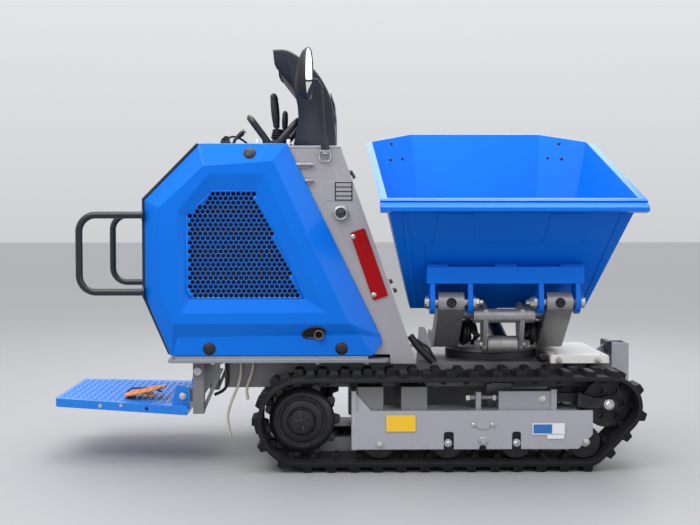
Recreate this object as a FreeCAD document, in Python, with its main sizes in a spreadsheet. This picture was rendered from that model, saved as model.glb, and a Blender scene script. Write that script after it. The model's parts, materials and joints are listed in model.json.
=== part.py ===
"""Power wheelbarrow: a stand-on mini dumper on rubber tracks with a swivelling, tipping skip.

Frame: +X is forward, +Y is the machine's left, +Z is up, millimetres.
The origin lies on the ground under the middle of the whole machine.
The skip stands turned to the machine's right, with its pouring lip towards -Y.
"""
import FreeCAD, Part
import math
import os

import Sketcher
from FreeCAD import Placement, Rotation, Vector

DOC = FreeCAD.newDocument("PowerWheelbarrow")
SHEET = DOC.addObject("Spreadsheet::Sheet", "Dimensions")
NODES = {}

DRIVING_DIMENSIONS = {
    "centre_plane": 35.5,
    "track_offset": 300,
    "track_width": 180,
    "belt_thickness": 11.5,
    "lug_height": 18.5,
    "lug_count": 36,
    "sprocket_x": -151.8,
    "sprocket_z": 152,
    "sprocket_wrap": 122,
    "idler_x": 797.2,
    "idler_z": 200,
    "idler_wrap": 79,
    "roller_start": 87.2,
    "roller_step": 211.3,
    "roller_z": 84,
    "roller_wrap": 54,
    "wheel_gap": 3,
    "beam_back": 16,
    "beam_front": 744,
    "beam_bottom": 65,
    "beam_top": 184,
    "beam_half_width": 56,
    "plate": 8,
    "axle_radius": 12,
    "rail_back": -400,
    "rail_front": 836,
    "rail_inner": 160,
    "rail_outer": 204,
    "rail_bottom": 235,
    "chassis_top": 315,
    "deck_back": -568,
    "deck_front": 122,
    "deck_half": 300,
    "deck_low": 325,
    "deck_top": 335,
    "hood_half": 300,
    "hood_depth": 48,
    "hood_low": 344,
    "hood_top": 1007,
    "hood_skin": 4,
    "tower_half": 250,
    "tower_top": 994,
    "tower_skin": 6,
    "visor_half": 160,
    "visor_skin": 5,
    "grab_rail_radius": 11,
    "slew_x": 478,
    "slew_ring_radius": 152,
    "turntable_low": 337,
    "turntable_top": 357,
    "tip_reach": 301,
    "tip_height": 514,
    "ram_base_reach": 250,
    "ram_base_height": 376,
    "ram_eye_reach": -120,
    "ram_eye_height": 460,
    "ram_radius": 27,
    "rod_radius": 14,
    "arm_inner": 128,
    "arm_width": 80,
    "skip_bottom": 483,
    "skip_wall": 5,
    "skip_half_width": 394,
    "lip_half_width": 377,
    "skip_floor_half": 283,
    "lip_reach": 498,
    "lip_height": 820,
    "back_reach": -427,
    "back_height": 1087,
    "floor_front": 154,
    "floor_back": -230,
    "platform_back": -937.5,
    "platform_hinge_x": -526,
    "platform_hinge_z": 217,
    "platform_hinge_end": -511,
    "platform_half": 276,
    "platform_tip_half": 213,
    "post_front": 937.5,
    "post_length": 58,
    "post_half": 46,
    "post_top": 357,
}


class Size:
    """A length that keeps the sheet formula it comes from."""

    def __init__(self, value, text):
        self.value = value
        self.text = text

    def __add__(self, other):
        return Size(self.value + number(other), "(%s + %s)" % (self.text, formula(other)))

    def __sub__(self, other):
        return Size(self.value - number(other), "(%s - %s)" % (self.text, formula(other)))

    def __mul__(self, other):
        return Size(self.value * number(other), "(%s * %s)" % (self.text, formula(other)))

    def __neg__(self):
        return self * -1

    __radd__ = __add__
    __rmul__ = __mul__


def number(length):
    """The plain value of a Size or of a number."""
    return length.value if isinstance(length, Size) else float(length)


def formula(length):
    """The text that stands for a Size or a number in a sheet formula."""
    return length.text if isinstance(length, Size) else "(%.6g)" % length


def fill_sheet():
    """Write the driving dimensions to the sheet and give each cell its alias."""
    sizes = {}
    for row, (alias, value) in enumerate(DRIVING_DIMENSIONS.items(), start=1):
        SHEET.set("A%d" % row, alias)
        SHEET.set("B%d" % row, str(value))
        SHEET.setAlias("B%d" % row, alias)
        sizes[alias] = Size(float(value), "Dimensions." + alias)
    DOC.recompute()
    return sizes


SIZE = fill_sheet()
MID = SIZE["centre_plane"]
SIDES = (("right", -1), ("left", 1))


# ---------------------------------------------------------------- building blocks

def bind(thing, prop, length):
    """Set a property, and tie it to the sheet when the length is a Size."""
    if isinstance(length, Size):
        thing.setExpression(prop, length.text)


def place(thing, base, rotation=None):
    """Put a document object at a point, tied to the sheet."""
    spot = Vector(*[number(value) for value in base])
    thing.Placement = Placement(spot, rotation or Rotation())
    for axis, value in zip("xyz", base):
        bind(thing, "Placement.Base." + axis, value)
    return thing


def node(thing, name):
    """Register a finished sub-part under its own label."""
    thing.Label = name
    NODES[name] = thing
    return thing


def ordered(first, second):
    """Two lengths, the smaller one first."""
    return (first, second) if number(first) <= number(second) else (second, first)


def box(name, xs, ys, zs):
    """A block between two corners."""
    (x0, x1), (y0, y1), (z0, z1) = ordered(*xs), ordered(*ys), ordered(*zs)
    block = DOC.addObject("Part::Box", name)
    for prop, low, high in (("Length", x0, x1), ("Width", y0, y1), ("Height", z0, z1)):
        setattr(block, prop, number(high) - number(low))
        bind(block, prop, high - low if isinstance(high, Size) else high + -1 * low)
    return place(block, (x0, y0, z0))


AXIS_TURNS = {"X": Rotation(Vector(0, 1, 0), 90), "Y": Rotation(Vector(1, 0, 0), -90), "Z": Rotation()}


def rod(name, base, axis, radius, length):
    """A round bar that starts at base and runs along +X, +Y or +Z."""
    bar = DOC.addObject("Part::Cylinder", name)
    bar.Radius = number(radius)
    bind(bar, "Radius", radius)
    bar.Height = number(length)
    bind(bar, "Height", length)
    return place(bar, base, AXIS_TURNS[axis])


def cross_rod(name, x, ys, z, radius):
    """A round bar across the machine between two y values."""
    y0, y1 = ordered(*ys)
    return rod(name, (x, y0, z), "Y", radius, y1 - y0)


def fuse(name, *pieces):
    """One solid welded from several."""
    weld = DOC.addObject("Part::MultiFuse", name)
    weld.Shapes = list(pieces)
    return weld


def cut(name, base, *tools):
    """A solid with other solids removed from it."""
    result = base
    for index, tool in enumerate(tools):
        step = DOC.addObject("Part::Cut", name if index == len(tools) - 1 else name + "_step")
        step.Base = result
        step.Tool = tool
        result = step
    return result


def group(name, *pieces):
    """Separate solids kept together in one sub-part."""
    bundle = DOC.addObject("Part::Compound", name)
    bundle.Links = list(pieces)
    return bundle


def add_loop(sketch, points):
    """A closed outline in a sketch, each corner tied to the sheet."""
    first = sketch.GeometryCount
    count = len(points)
    corners = [Vector(number(a), number(b), 0) for a, b in points]
    sketch.addGeometry([Part.LineSegment(corners[i], corners[(i + 1) % count]) for i in range(count)])
    for i in range(count):
        following = first + (i + 1) % count
        sketch.addConstraint(Sketcher.Constraint("Coincident", first + i, 2, following, 1))
    for i, corner in enumerate(points):
        for kind, value in zip(("DistanceX", "DistanceY"), corner):
            rule = Sketcher.Constraint(kind, -1, 1, first + i, 1, number(value))
            bind(sketch, "Constraints[%d]" % sketch.addConstraint(rule), value)


def add_circle(sketch, a, b, radius):
    """A round hole in a sketch, tied to the sheet."""
    circle = Part.Circle(Vector(number(a), number(b), 0), Vector(0, 0, 1), number(radius))
    index = sketch.addGeometry(circle)
    for kind, value in zip(("DistanceX", "DistanceY"), (a, b)):
        rule = Sketcher.Constraint(kind, -1, 1, index, 3, number(value))
        bind(sketch, "Constraints[%d]" % sketch.addConstraint(rule), value)
    rule = Sketcher.Constraint("Radius", index, number(radius))
    bind(sketch, "Constraints[%d]" % sketch.addConstraint(rule), radius)


def upright_edges(shape, axis, corners):
    """Names of the edges along an axis that stand on the given corners of an outline."""
    across = [i for i in range(3) if i != "XYZ".index(axis)]
    names = []
    for index, edge in enumerate(shape.Edges, start=1):
        ends = [vertex.Point for vertex in edge.Vertexes]
        if len(ends) != 2:
            continue
        if any(abs(ends[0][i] - ends[1][i]) > 1e-4 for i in across):
            continue
        spot = [ends[0][i] for i in across]
        if any(math.dist(spot, corner) < 0.5 for corner in corners):
            names.append("Edge%d" % index)
    return names


def prism(name, plane, outline, span, circles=(), rounds=()):
    """A PartDesign body: an outline pushed along the axis that its plane lacks.

    plane is XY, XZ or YZ; span is the low and high place along the third axis; rounds is a
    list of (radius, corner numbers) for corners of the outline that are rounded.
    """
    axis = {"XY": "Z", "XZ": "Y", "YZ": "X"}[plane]
    low, high = ordered(*span)
    body = DOC.addObject("PartDesign::Body", name)
    plane_object = [item for item in body.Origin.OriginFeatures if item.Role == plane + "_Plane"][0]
    sketch = body.newObject("Sketcher::SketchObject", name + "_outline")
    sketch.AttachmentSupport = [(plane_object, "")]
    sketch.MapMode = "FlatFace"
    add_loop(sketch, outline)
    for circle in circles:
        add_circle(sketch, *circle)
    pad = body.newObject("PartDesign::Pad", name + "_pad")
    pad.Profile = sketch
    depth = high - low if isinstance(high, Size) else high + -1 * low
    pad.Length = number(depth)
    bind(pad, "Length", depth)
    feature = pad
    for radius, corners in rounds:
        DOC.recompute()
        spots = [tuple(number(value) for value in outline[index]) for index in corners]
        edges = upright_edges(feature.Shape, axis, spots)
        fillet = body.newObject("PartDesign::Fillet", name + "_round")
        fillet.Base = (feature, edges)
        fillet.Radius = number(radius)
        bind(fillet, "Radius", radius)
        feature = fillet
    base = {"Z": (0, 0, low), "Y": (0, high, 0), "X": (low, 0, 0)}[axis]
    return place(body, base)


def turned(name, profile, base, axis):
    """A PartDesign body turned from a half profile of (radius, height) points."""
    body = DOC.addObject("PartDesign::Body", name)
    plane_object = [item for item in body.Origin.OriginFeatures if item.Role == "XZ_Plane"][0]
    sketch = body.newObject("Sketcher::SketchObject", name + "_profile")
    sketch.AttachmentSupport = [(plane_object, "")]
    sketch.MapMode = "FlatFace"
    add_loop(sketch, profile)
    turn = body.newObject("PartDesign::Revolution", name + "_turn")
    turn.Profile = sketch
    turn.ReferenceAxis = (sketch, ["V_Axis"])
    turn.Angle = 360
    return place(body, base, AXIS_TURNS[axis])


def swept(name, points, radius, bend):
    """A round bar or tube along straight runs that are joined by tangent arcs."""
    wire = rounded_route(points, bend)
    path = DOC.addObject("Part::Feature", name + "_path")
    path.Shape = wire
    ring = DOC.addObject("Part::Circle", name + "_section")
    ring.Radius = number(radius)
    bind(ring, "Radius", radius)
    heading = (points[1] - points[0]).normalize()
    ring.Placement = Placement(points[0], Rotation(Vector(0, 0, 1), heading))
    sweep = DOC.addObject("Part::Sweep", name)
    sweep.Sections = [ring]
    sweep.Spine = (path, ["Edge%d" % (i + 1) for i in range(len(wire.Edges))])
    sweep.Solid = True
    sweep.Transition = "Right corner"
    return sweep


def rounded_route(points, bend):
    """A wire of straight runs with arcs; bend is one radius, or None for the widest that fit."""
    edges = []
    start = points[0]
    for before, corner, after in zip(points, points[1:], points[2:]):
        back = (before - corner).normalize()
        ahead = (after - corner).normalize()
        half_turn = (math.pi - back.getAngle(ahead)) / 2
        shorter = min((before - corner).Length, (after - corner).Length)
        radius = bend or 0.45 * shorter / math.tan(half_turn)
        reach = radius * math.tan(half_turn)
        first = corner + back * reach
        last = corner + ahead * reach
        inward = (back + ahead).normalize()
        middle = corner + inward * (radius / math.cos(half_turn) - radius)
        edges.append(Part.LineSegment(start, first).toShape())
        edges.append(Part.Arc(first, middle, last).toShape())
        start = last
        if bend is None:
            print("bend radius %.0f mm" % radius)
    edges.append(Part.LineSegment(start, points[-1]).toShape())
    return Part.Wire(edges)


def shape_node(name, shape):
    """A sub-part whose shape no primitive or body feature gives."""
    feature = DOC.addObject("Part::Feature", name)
    feature.Shape = shape
    return node(feature, name)


def off(side, distance):
    """The y value at a distance from the centre plane, on one side of the machine."""
    return MID + distance * side


# ---------------------------------------------------------------- tracks

def loop_circles():
    """The three round ends that the rubber belt wraps: sprocket, front roller and idler."""
    front_roller = SIZE["roller_start"].value + 3 * SIZE["roller_step"].value
    return [
        (SIZE["sprocket_x"].value, SIZE["sprocket_z"].value, SIZE["sprocket_wrap"].value),
        (front_roller, SIZE["roller_z"].value, SIZE["roller_wrap"].value),
        (SIZE["idler_x"].value, SIZE["idler_z"].value, SIZE["idler_wrap"].value),
    ]


def belt_wire(grow):
    """The belt's path seen from the side, pushed outwards by a distance."""
    circles = [(Vector(x, 0, z), radius + grow) for x, z, radius in loop_circles()]
    hull_centre = (circles[0][0] + circles[1][0] + circles[2][0]) * (1 / 3)
    contacts = []
    for (centre, radius), (after, next_radius) in zip(circles, circles[1:] + circles[:1]):
        run = after - centre
        heading = run.normalize()
        distance = centre.distanceToPoint(after)
        lean = (radius - next_radius) / distance
        outward = Vector(heading.z, 0, -heading.x)
        normal = heading * lean + outward * math.sqrt(1 - lean * lean)
        contacts.append((centre + normal * radius, after + normal * next_radius))
    edges = []
    for index, (leave, arrive) in enumerate(contacts):
        centre, radius = circles[(index + 1) % 3]
        depart = contacts[(index + 1) % 3][0]
        halfway = (arrive - centre) + (depart - centre)
        if halfway.dot(centre - hull_centre) < 0:
            halfway = halfway * -1
        middle = centre + halfway.normalize() * radius
        edges.append(Part.LineSegment(leave, arrive).toShape())
        edges.append(Part.Arc(arrive, middle, depart).toShape())
    return Part.Wire(edges)


def rubber_belt(side):
    """The endless belt with two staggered rows of lugs on its outside."""
    inner_y = SIZE["track_offset"].value - SIZE["track_width"].value / 2
    y_start = min(number(off(side, inner_y)), number(off(side, inner_y + SIZE["track_width"].value)))
    outer = belt_wire(SIZE["belt_thickness"].value)
    face = Part.makeFace([outer, belt_wire(0)], "Part::FaceMakerBullseye").Faces[0]
    belt = face.extrude(Vector(0, SIZE["track_width"].value, 0))
    belt.translate(Vector(0, y_start, 0))
    row_width = SIZE["track_width"].value / 2 + 2
    lug_length = 30
    sunk = 2
    steps = 8
    lug_total = 2 * int(SIZE["lug_count"].value)
    path = outer.discretize(Number=lug_total * steps + 1)[:-1]
    lugs = []
    for index in range(lug_total):
        at = index * steps
        heading = (path[(at + 1) % len(path)] - path[at - 1]).normalize()
        normal = Vector(heading.z, 0, -heading.x)
        if (path[at] - belt.CenterOfMass).dot(normal) < 0:
            normal = normal * -1
        lug = Part.makeBox(lug_length, row_width, SIZE["lug_height"].value + sunk)
        lug.translate(Vector(-lug_length / 2, -row_width / 2, -sunk))
        row_y = y_start + (0.25 if index % 2 else 0.75) * SIZE["track_width"].value
        row_y += 1 if index % 2 else -1
        turn = Rotation(heading, Vector(0, 0, 0), normal, "XZY")
        lug.Placement = Placement(Vector(path[at].x, row_y, path[at].z), turn).multiply(lug.Placement)
        lugs.append(lug)
    ground = Part.makeBox(3000, 3000, 100, Vector(-1500, -1500, -100))
    return belt.fuse(lugs).cut(ground)


def drive_sprocket(word, side):
    """The toothed ring with its hub and the round cover of the final drive."""
    teeth = 11
    root_radius = 100
    hub = cross_rod("sprocket_hub", SIZE["sprocket_x"], (off(side, 287), off(side, 352)), SIZE["sprocket_z"], 85)
    cover = cross_rod("sprocket_cap", SIZE["sprocket_x"], (off(side, 352), off(side, 366)), SIZE["sprocket_z"], 40)
    tip_radius = SIZE["sprocket_wrap"] - SIZE["wheel_gap"]
    outline = []
    for tooth in range(teeth):
        for turn, radius in ((-0.32, root_radius), (-0.14, number(tip_radius)), (0.14, number(tip_radius)),
                             (0.32, root_radius)):
            angle = 2 * math.pi * (tooth + turn) / teeth
            outline.append((radius * math.cos(angle), radius * math.sin(angle)))
    ring = prism("sprocket_teeth", "XZ", outline, (0, 26))
    place(ring, (SIZE["sprocket_x"], off(side, 300) + 13, SIZE["sprocket_z"]))
    return node(fuse("sprocket_weld", hub, cover, ring), "sprocket_" + word)


def track_wheel(name, x, z, side, radius, half_width, waist, waist_half):
    """A flanged wheel with a bore that clears its axle."""
    bore = SIZE["axle_radius"] + 1
    profile = [
        (bore, -half_width),
        (radius, -half_width),
        (radius, -waist_half),
        (waist, -waist_half),
        (waist, waist_half),
        (radius, waist_half),
        (radius, half_width),
        (bore, half_width),
    ]
    return turned(name, profile, (x, off(side, SIZE["track_offset"]), z), "Y")


def idler_wheel(word, side):
    """The front idler: a rim and a hub joined by a web with six windows."""
    centre = off(side, SIZE["track_offset"])
    rim = SIZE["idler_wrap"] - SIZE["wheel_gap"]
    disc = track_wheel("idler_disc", SIZE["idler_x"], SIZE["idler_z"], side, rim, 12, rim - 14, 6)
    hub = cut("idler_boss", cross_rod("idler_hub", SIZE["idler_x"], (centre - 33, centre + 33), SIZE["idler_z"], 26),
              cross_rod("idler_bore", SIZE["idler_x"], (centre - 34, centre + 34), SIZE["idler_z"],
                        SIZE["axle_radius"] + 1))
    windows = []
    for index in range(6):
        angle = 2 * math.pi * index / 6
        x = SIZE["idler_x"] + 44 * math.cos(angle)
        z = SIZE["idler_z"] + 44 * math.sin(angle)
        windows.append(cross_rod("idler_window", x, (centre - 30, centre + 30), z, 11))
    wheel = cut("idler_web", disc, *windows)
    return node(fuse("idler_weld", wheel, hub), "idler_" + word)


def tensioner(word, side):
    """The square slide with its fork and the idler's axle."""
    centre = off(side, SIZE["track_offset"])
    slide = box("tensioner_slide", (480, 702), (centre - 13.5, centre + 13.5), (204, 231))
    yoke = box("tensioner_yoke", (700, 714), (centre - 44, centre + 44), (192, 236))
    arms = []
    for edge in (-1, 1):
        low, high = ordered(centre + 36 * edge, centre + 44 * edge)
        outline = [(713, 190), (713, 232), (745, 222), (825, 214), (825, 187)]
        arms.append(prism("tensioner_arm", "XZ", outline, (low, high), rounds=[(10, (3, 4))]))
    axle = cross_rod("idler_axle", SIZE["idler_x"], (centre - 44, centre + 44), SIZE["idler_z"], SIZE["axle_radius"])
    return node(fuse("tensioner_weld", slide, yoke, axle, *arms), "tensioner_" + word)


def track_frame(word, side):
    """The silver box beam that carries the rollers, the tensioner housing and the motor plate."""
    centre = off(side, SIZE["track_offset"])
    half = SIZE["beam_half_width"]
    low, high = centre - half, centre + half
    outer_low, outer_high = ordered(off(side, 346), off(side, 358))
    inner_low, inner_high = ordered(off(side, 246), off(side, 255))
    outline = [
        (SIZE["beam_back"], SIZE["beam_bottom"]),
        (SIZE["beam_front"] - 44, SIZE["beam_bottom"]),
        (SIZE["beam_front"], SIZE["beam_bottom"] + 44),
        (SIZE["beam_front"], SIZE["beam_top"]),
        (SIZE["beam_back"], SIZE["beam_top"]),
    ]
    beam = prism("beam_solid", "XZ", outline, (low, high))
    channel = box("beam_channel", (0, 800), (low + SIZE["plate"], high - SIZE["plate"]), (0, 172))
    slots = []
    for x0, x1, top in ((285, 316, 119), (394, 416, 77), (495, 523, 119)):
        slots.append(prism("beam_slot", "XZ", [(x0, 50), (x1, 50), (x1, top), (x0, top)],
                           (outer_low, outer_high), rounds=[(9, (2, 3))]))
    nose = box("beam_nose", (700, 800), (low + SIZE["plate"], high - SIZE["plate"]), (0, 190))
    shell = cut("beam_shell", beam, channel, nose, *slots)
    end_plate = box("beam_end", (2, SIZE["beam_back"]), (low, high), (64, 245))
    gusset_outline = [(16, 184), (60, 184), (16, 236)]
    gusset = prism("beam_gusset", "XZ", gusset_outline, ordered(off(side, 340), off(side, 348)))
    motor_plate = prism("motor_plate", "XZ", [(-262, 96), (9, 82), (9, 231), (-262, 208)],
                        (inner_low, inner_high), circles=[(SIZE["sprocket_x"], SIZE["sprocket_z"], 78)],
                        rounds=[(30, (0, 3))])
    housing = cut("tensioner_housing",
                  box("housing_block", (458, 619), (centre - 26, centre + 26), (SIZE["beam_top"], 239)),
                  box("housing_bore", (440, 650), (centre - 15, centre + 15), (202, 233)))
    stop = cut("tensioner_stop",
               box("stop_plate", (619, 637), (centre - 32, centre + 32), (SIZE["beam_top"], 245)),
               box("stop_bore", (600, 650), (centre - 15, centre + 15), (202, 233)))
    lug = box("screw_lug", (388, 404), (centre - 20, centre + 20), (SIZE["beam_top"], 236))
    screw = rod("tension_screw", (370, centre, 217), "X", 9, 92)
    pieces = [shell, end_plate, gusset, motor_plate, housing, stop, lug, screw]
    for index in range(4):
        x = SIZE["roller_start"] + SIZE["roller_step"] * index
        pieces.append(cross_rod("roller_axle", x, (low, high), SIZE["roller_z"], SIZE["axle_radius"]))
    return node(fuse("track_frame_weld", *pieces), "track_frame_" + word)


def drive_motors():
    """The two hydraulic travel motors, inboard of the sprockets."""
    motors = []
    for word, side in SIDES:
        case = cross_rod("motor_case", SIZE["sprocket_x"], (off(side, 205), off(side, 280)), SIZE["sprocket_z"], 72)
        back = cross_rod("motor_back", SIZE["sprocket_x"], (off(side, 118), off(side, 205)), SIZE["sprocket_z"], 52)
        ports = box("motor_ports", (SIZE["sprocket_x"] - 30, SIZE["sprocket_x"] + 30),
                    (off(side, 130), off(side, 180)), (SIZE["sprocket_z"], SIZE["sprocket_z"] + 70))
        motors.append(fuse("motor", case, back, ports))
    return node(group("motors", *motors), "drive_motors")


def make_tracks():
    """Everything that makes the two tracks."""
    for word, side in SIDES:
        shape_node("track_" + word, rubber_belt(side))
        drive_sprocket(word, side)
        idler_wheel(word, side)
        tensioner(word, side)
        track_frame(word, side)
        for index in range(4):
            x = SIZE["roller_start"] + SIZE["roller_step"] * index
            radius = SIZE["roller_wrap"] - SIZE["wheel_gap"]
            roller = track_wheel("roller_wheel", x, SIZE["roller_z"], side, radius, 42, 36, 28)
            node(roller, "roller_%s_%d" % (word, index + 1))
    drive_motors()


# ---------------------------------------------------------------- chassis

def make_chassis():
    """Rails, cross members, deck and the covers and post in front of them."""
    pieces = []
    for word, side in SIDES:
        pieces.append(box("rail", (SIZE["rail_back"], SIZE["rail_front"]),
                          (off(side, SIZE["rail_inner"]), off(side, SIZE["rail_outer"])),
                          (SIZE["rail_bottom"], SIZE["chassis_top"])))
    full = SIZE["track_offset"] + SIZE["beam_half_width"] - 16
    to_beam = SIZE["track_offset"] - SIZE["beam_half_width"] + 18
    for x, reach in ((20, full), (155, full), (430, to_beam)):
        pieces.append(box("cross_member", (x, x + 80), (off(-1, reach), off(1, reach)), (SIZE["beam_top"], 256)))
    pieces.append(box("chassis_deck", (SIZE["rail_back"], SIZE["rail_front"]),
                      (off(-1, SIZE["rail_outer"]), off(1, SIZE["rail_outer"])),
                      (SIZE["chassis_top"] - 10, SIZE["chassis_top"])))
    pieces.append(box("front_beam", (776, SIZE["rail_front"]), (off(-1, 165), off(1, 165)), (SIZE["rail_bottom"], 306)))
    node(fuse("chassis_weld", *pieces), "chassis_frame")

    half = SIZE["deck_half"]
    back, front = SIZE["deck_back"], SIZE["deck_front"]
    plate = prism("deck_sheet", "XY",
                  [(back, off(-1, half)), (front, off(-1, half)), (front, off(1, half)), (back, off(1, half))],
                  (SIZE["deck_low"], SIZE["deck_top"]), rounds=[(18, (0, 1, 2, 3))])
    pads = [box("deck_pad", (x, x + 60), (off(side, 150), off(side, 200)), (SIZE["chassis_top"], SIZE["deck_low"]))
            for x in (-380, 40) for word, side in SIDES]
    sills = [box("hood_sill", (-545, 55), (off(side, 283), off(side, 293)), (SIZE["deck_top"], SIZE["hood_low"]))
             for word, side in SIDES]
    node(fuse("deck_weld", plate, *pads, *sills), "deck_plate")

    cover = prism("cover_outline", "XZ", [(634, 315), (819, 315), (819, 338), (813, 342), (640, 342), (634, 338)],
                  (MID - 250, MID + 105))
    node(cover, "front_cover")

    post_back = SIZE["post_front"] - SIZE["post_length"]
    post = box("post_tube", (post_back, SIZE["post_front"]), (MID - SIZE["post_half"], MID + SIZE["post_half"]),
               (198, SIZE["post_top"]))
    inside = box("post_bore", (post_back + 6, SIZE["post_front"] - 6),
                 (MID - SIZE["post_half"] + 6, MID + SIZE["post_half"] - 6), (190, 370))
    pin_hole = rod("tow_bore", (post_back - 1, MID, 325), "X", 11, SIZE["post_length"] + 2)
    bar = box("draw_bar", (SIZE["rail_front"], post_back), (MID - 35, MID + 35), (236, 300))
    node(fuse("post_weld", cut("post_shell", post, inside, pin_hole), bar), "front_post")


def make_tower():
    """The slanted steel console tower, its hooded dash and the panel inside the hood."""
    half = SIZE["tower_half"]
    skin = SIZE["tower_skin"]
    outline = [(209.2, SIZE["chassis_top"]), (181.2, 398), (-29.3, SIZE["tower_top"]), (-205, SIZE["tower_top"]),
               (70, 345), (125, 345), (125, SIZE["chassis_top"])]
    inner = [(202.8, 300), (174.8, 396.8), (-33.5, SIZE["tower_top"] - skin), (-240, SIZE["tower_top"] - skin),
             (-20, 300)]
    solid = prism("tower_outline", "XZ", outline, (MID - half, MID + half))
    hollow = prism("tower_hollow", "XZ", inner, (MID - half + skin, MID + half - skin))
    tower = cut("tower_shell", solid, hollow)
    ports = [cut("port_ring", cross_rod("port_bezel", -30, (off(side, half), off(side, half + 12)), 790, 24),
                 cross_rod("port_hole", -30, (off(side, half + 5), off(side, half + 13)), 790, 15))
             for word, side in SIDES]
    mirror_bracket = box("mirror_bracket", (-95, -63), (off(-1, half), off(-1, 283)), (979, 985))
    node(fuse("tower_weld", tower, mirror_bracket, *ports), "console_tower")

    side_view = [(-247, 1308), (-240, 1316), (-212, 1316), (-180, 1300), (-119, 1258), (-92, 1227), (-61, 1169),
                 (-48, 1125), (-46, 1010), (-46, SIZE["tower_top"]), (-183, SIZE["tower_top"]), (-174, 1035),
                 (-164, 1100), (-170, 1148), (-181, 1209), (-238, 1248)]
    visor = prism("visor_outline", "XZ", side_view, (MID - SIZE["visor_half"], MID + SIZE["visor_half"]))
    inside = [(-260, 1306), (-213, 1309), (-183, 1294), (-124, 1252), (-97, 1223), (-67, 1167), (-54, 1124),
              (-52, 980), (-200, 980), (-290, 1200)]
    room = prism("visor_room", "XZ", inside,
                 (MID - SIZE["visor_half"] + SIZE["visor_skin"], MID + SIZE["visor_half"] - SIZE["visor_skin"]))
    node(cut("visor_shell", visor, room), "dash_shroud")

    panel = [(-222, 1238), (-214, 1244), (-160, 1176), (-118, 1040), (-126, 1036), (-168, 1170)]
    node(prism("panel_outline", "XZ", panel, (MID - 150, MID + 150)), "instrument_panel")


def make_hood():
    """Two side panels with windows, the bent roof and rear sheet, and the grilles."""
    outline = [(-471.8, SIZE["hood_top"]), (-196.8, SIZE["hood_top"]), (106, 371), (60.2, SIZE["hood_low"]),
               (-551.8, SIZE["hood_low"]), (-563.8, 355), (-639.8, 534), (-641.8, 829)]
    inner = [(-462, 982), (-213, 982), (70, 385), (52, 369), (-540, 369), (-615, 540), (-617, 820)]
    window = [(-420, 861), (-290, 861), (-142, 528), (-500, 528), (-503, 780)]
    for word, side in SIDES:
        outer_y = off(side, SIZE["hood_half"])
        inner_y = off(side, SIZE["hood_half"] - SIZE["hood_depth"])
        solid = prism("hood_outline", "XZ", outline, (inner_y, outer_y), rounds=[(30, (2,)), (60, (0, 7))])
        skin_y = outer_y - SIZE["hood_skin"] * side
        hollow = prism("hood_room", "XZ", inner, (inner_y - 2 * side, skin_y))
        opening = prism("hood_window", "XZ", window, (off(side, 280), off(side, 310)), rounds=[(12, (0, 1, 2, 3, 4))])
        tip_hole = cross_rod("exhaust_hole", -98, (off(side, 280), off(side, 310)), 413, 24)
        tools = [hollow, opening] + ([tip_hole] if word == "right" else [])
        node(cut("hood_shell", solid, *tools), "hood_" + word)

    skin = SIZE["hood_skin"]
    top = SIZE["hood_top"]
    path = [(-196.8, top), (-471.8, top), (-641.8, 829), (-639.8, 534), (-563.8, 355)]
    back = [(-568, 356), (-635.8, 535), (-637.8, 827), (-470, top - skin), (-196.8, top - skin)]
    side_limit = SIZE["hood_half"] - SIZE["hood_depth"] - 1
    sheet = prism("roof_sheet", "XZ", path + [(-559.8, 356)] + back[1:], (MID - side_limit, MID + side_limit))
    node(sheet, "hood_top")

    mesh_outline = [(-412, 856), (-294, 856), (-150, 533), (-495, 533), (-498, 778)]
    sheets = []
    for word, side in SIDES:
        y0, y1 = ordered(off(side, 290), off(side, 293))
        sheets.append(prism("grille_sheet", "XZ", mesh_outline, (y0, y1)))
    node(group("grille_pair", *sheets), "hood_grilles")


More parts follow.
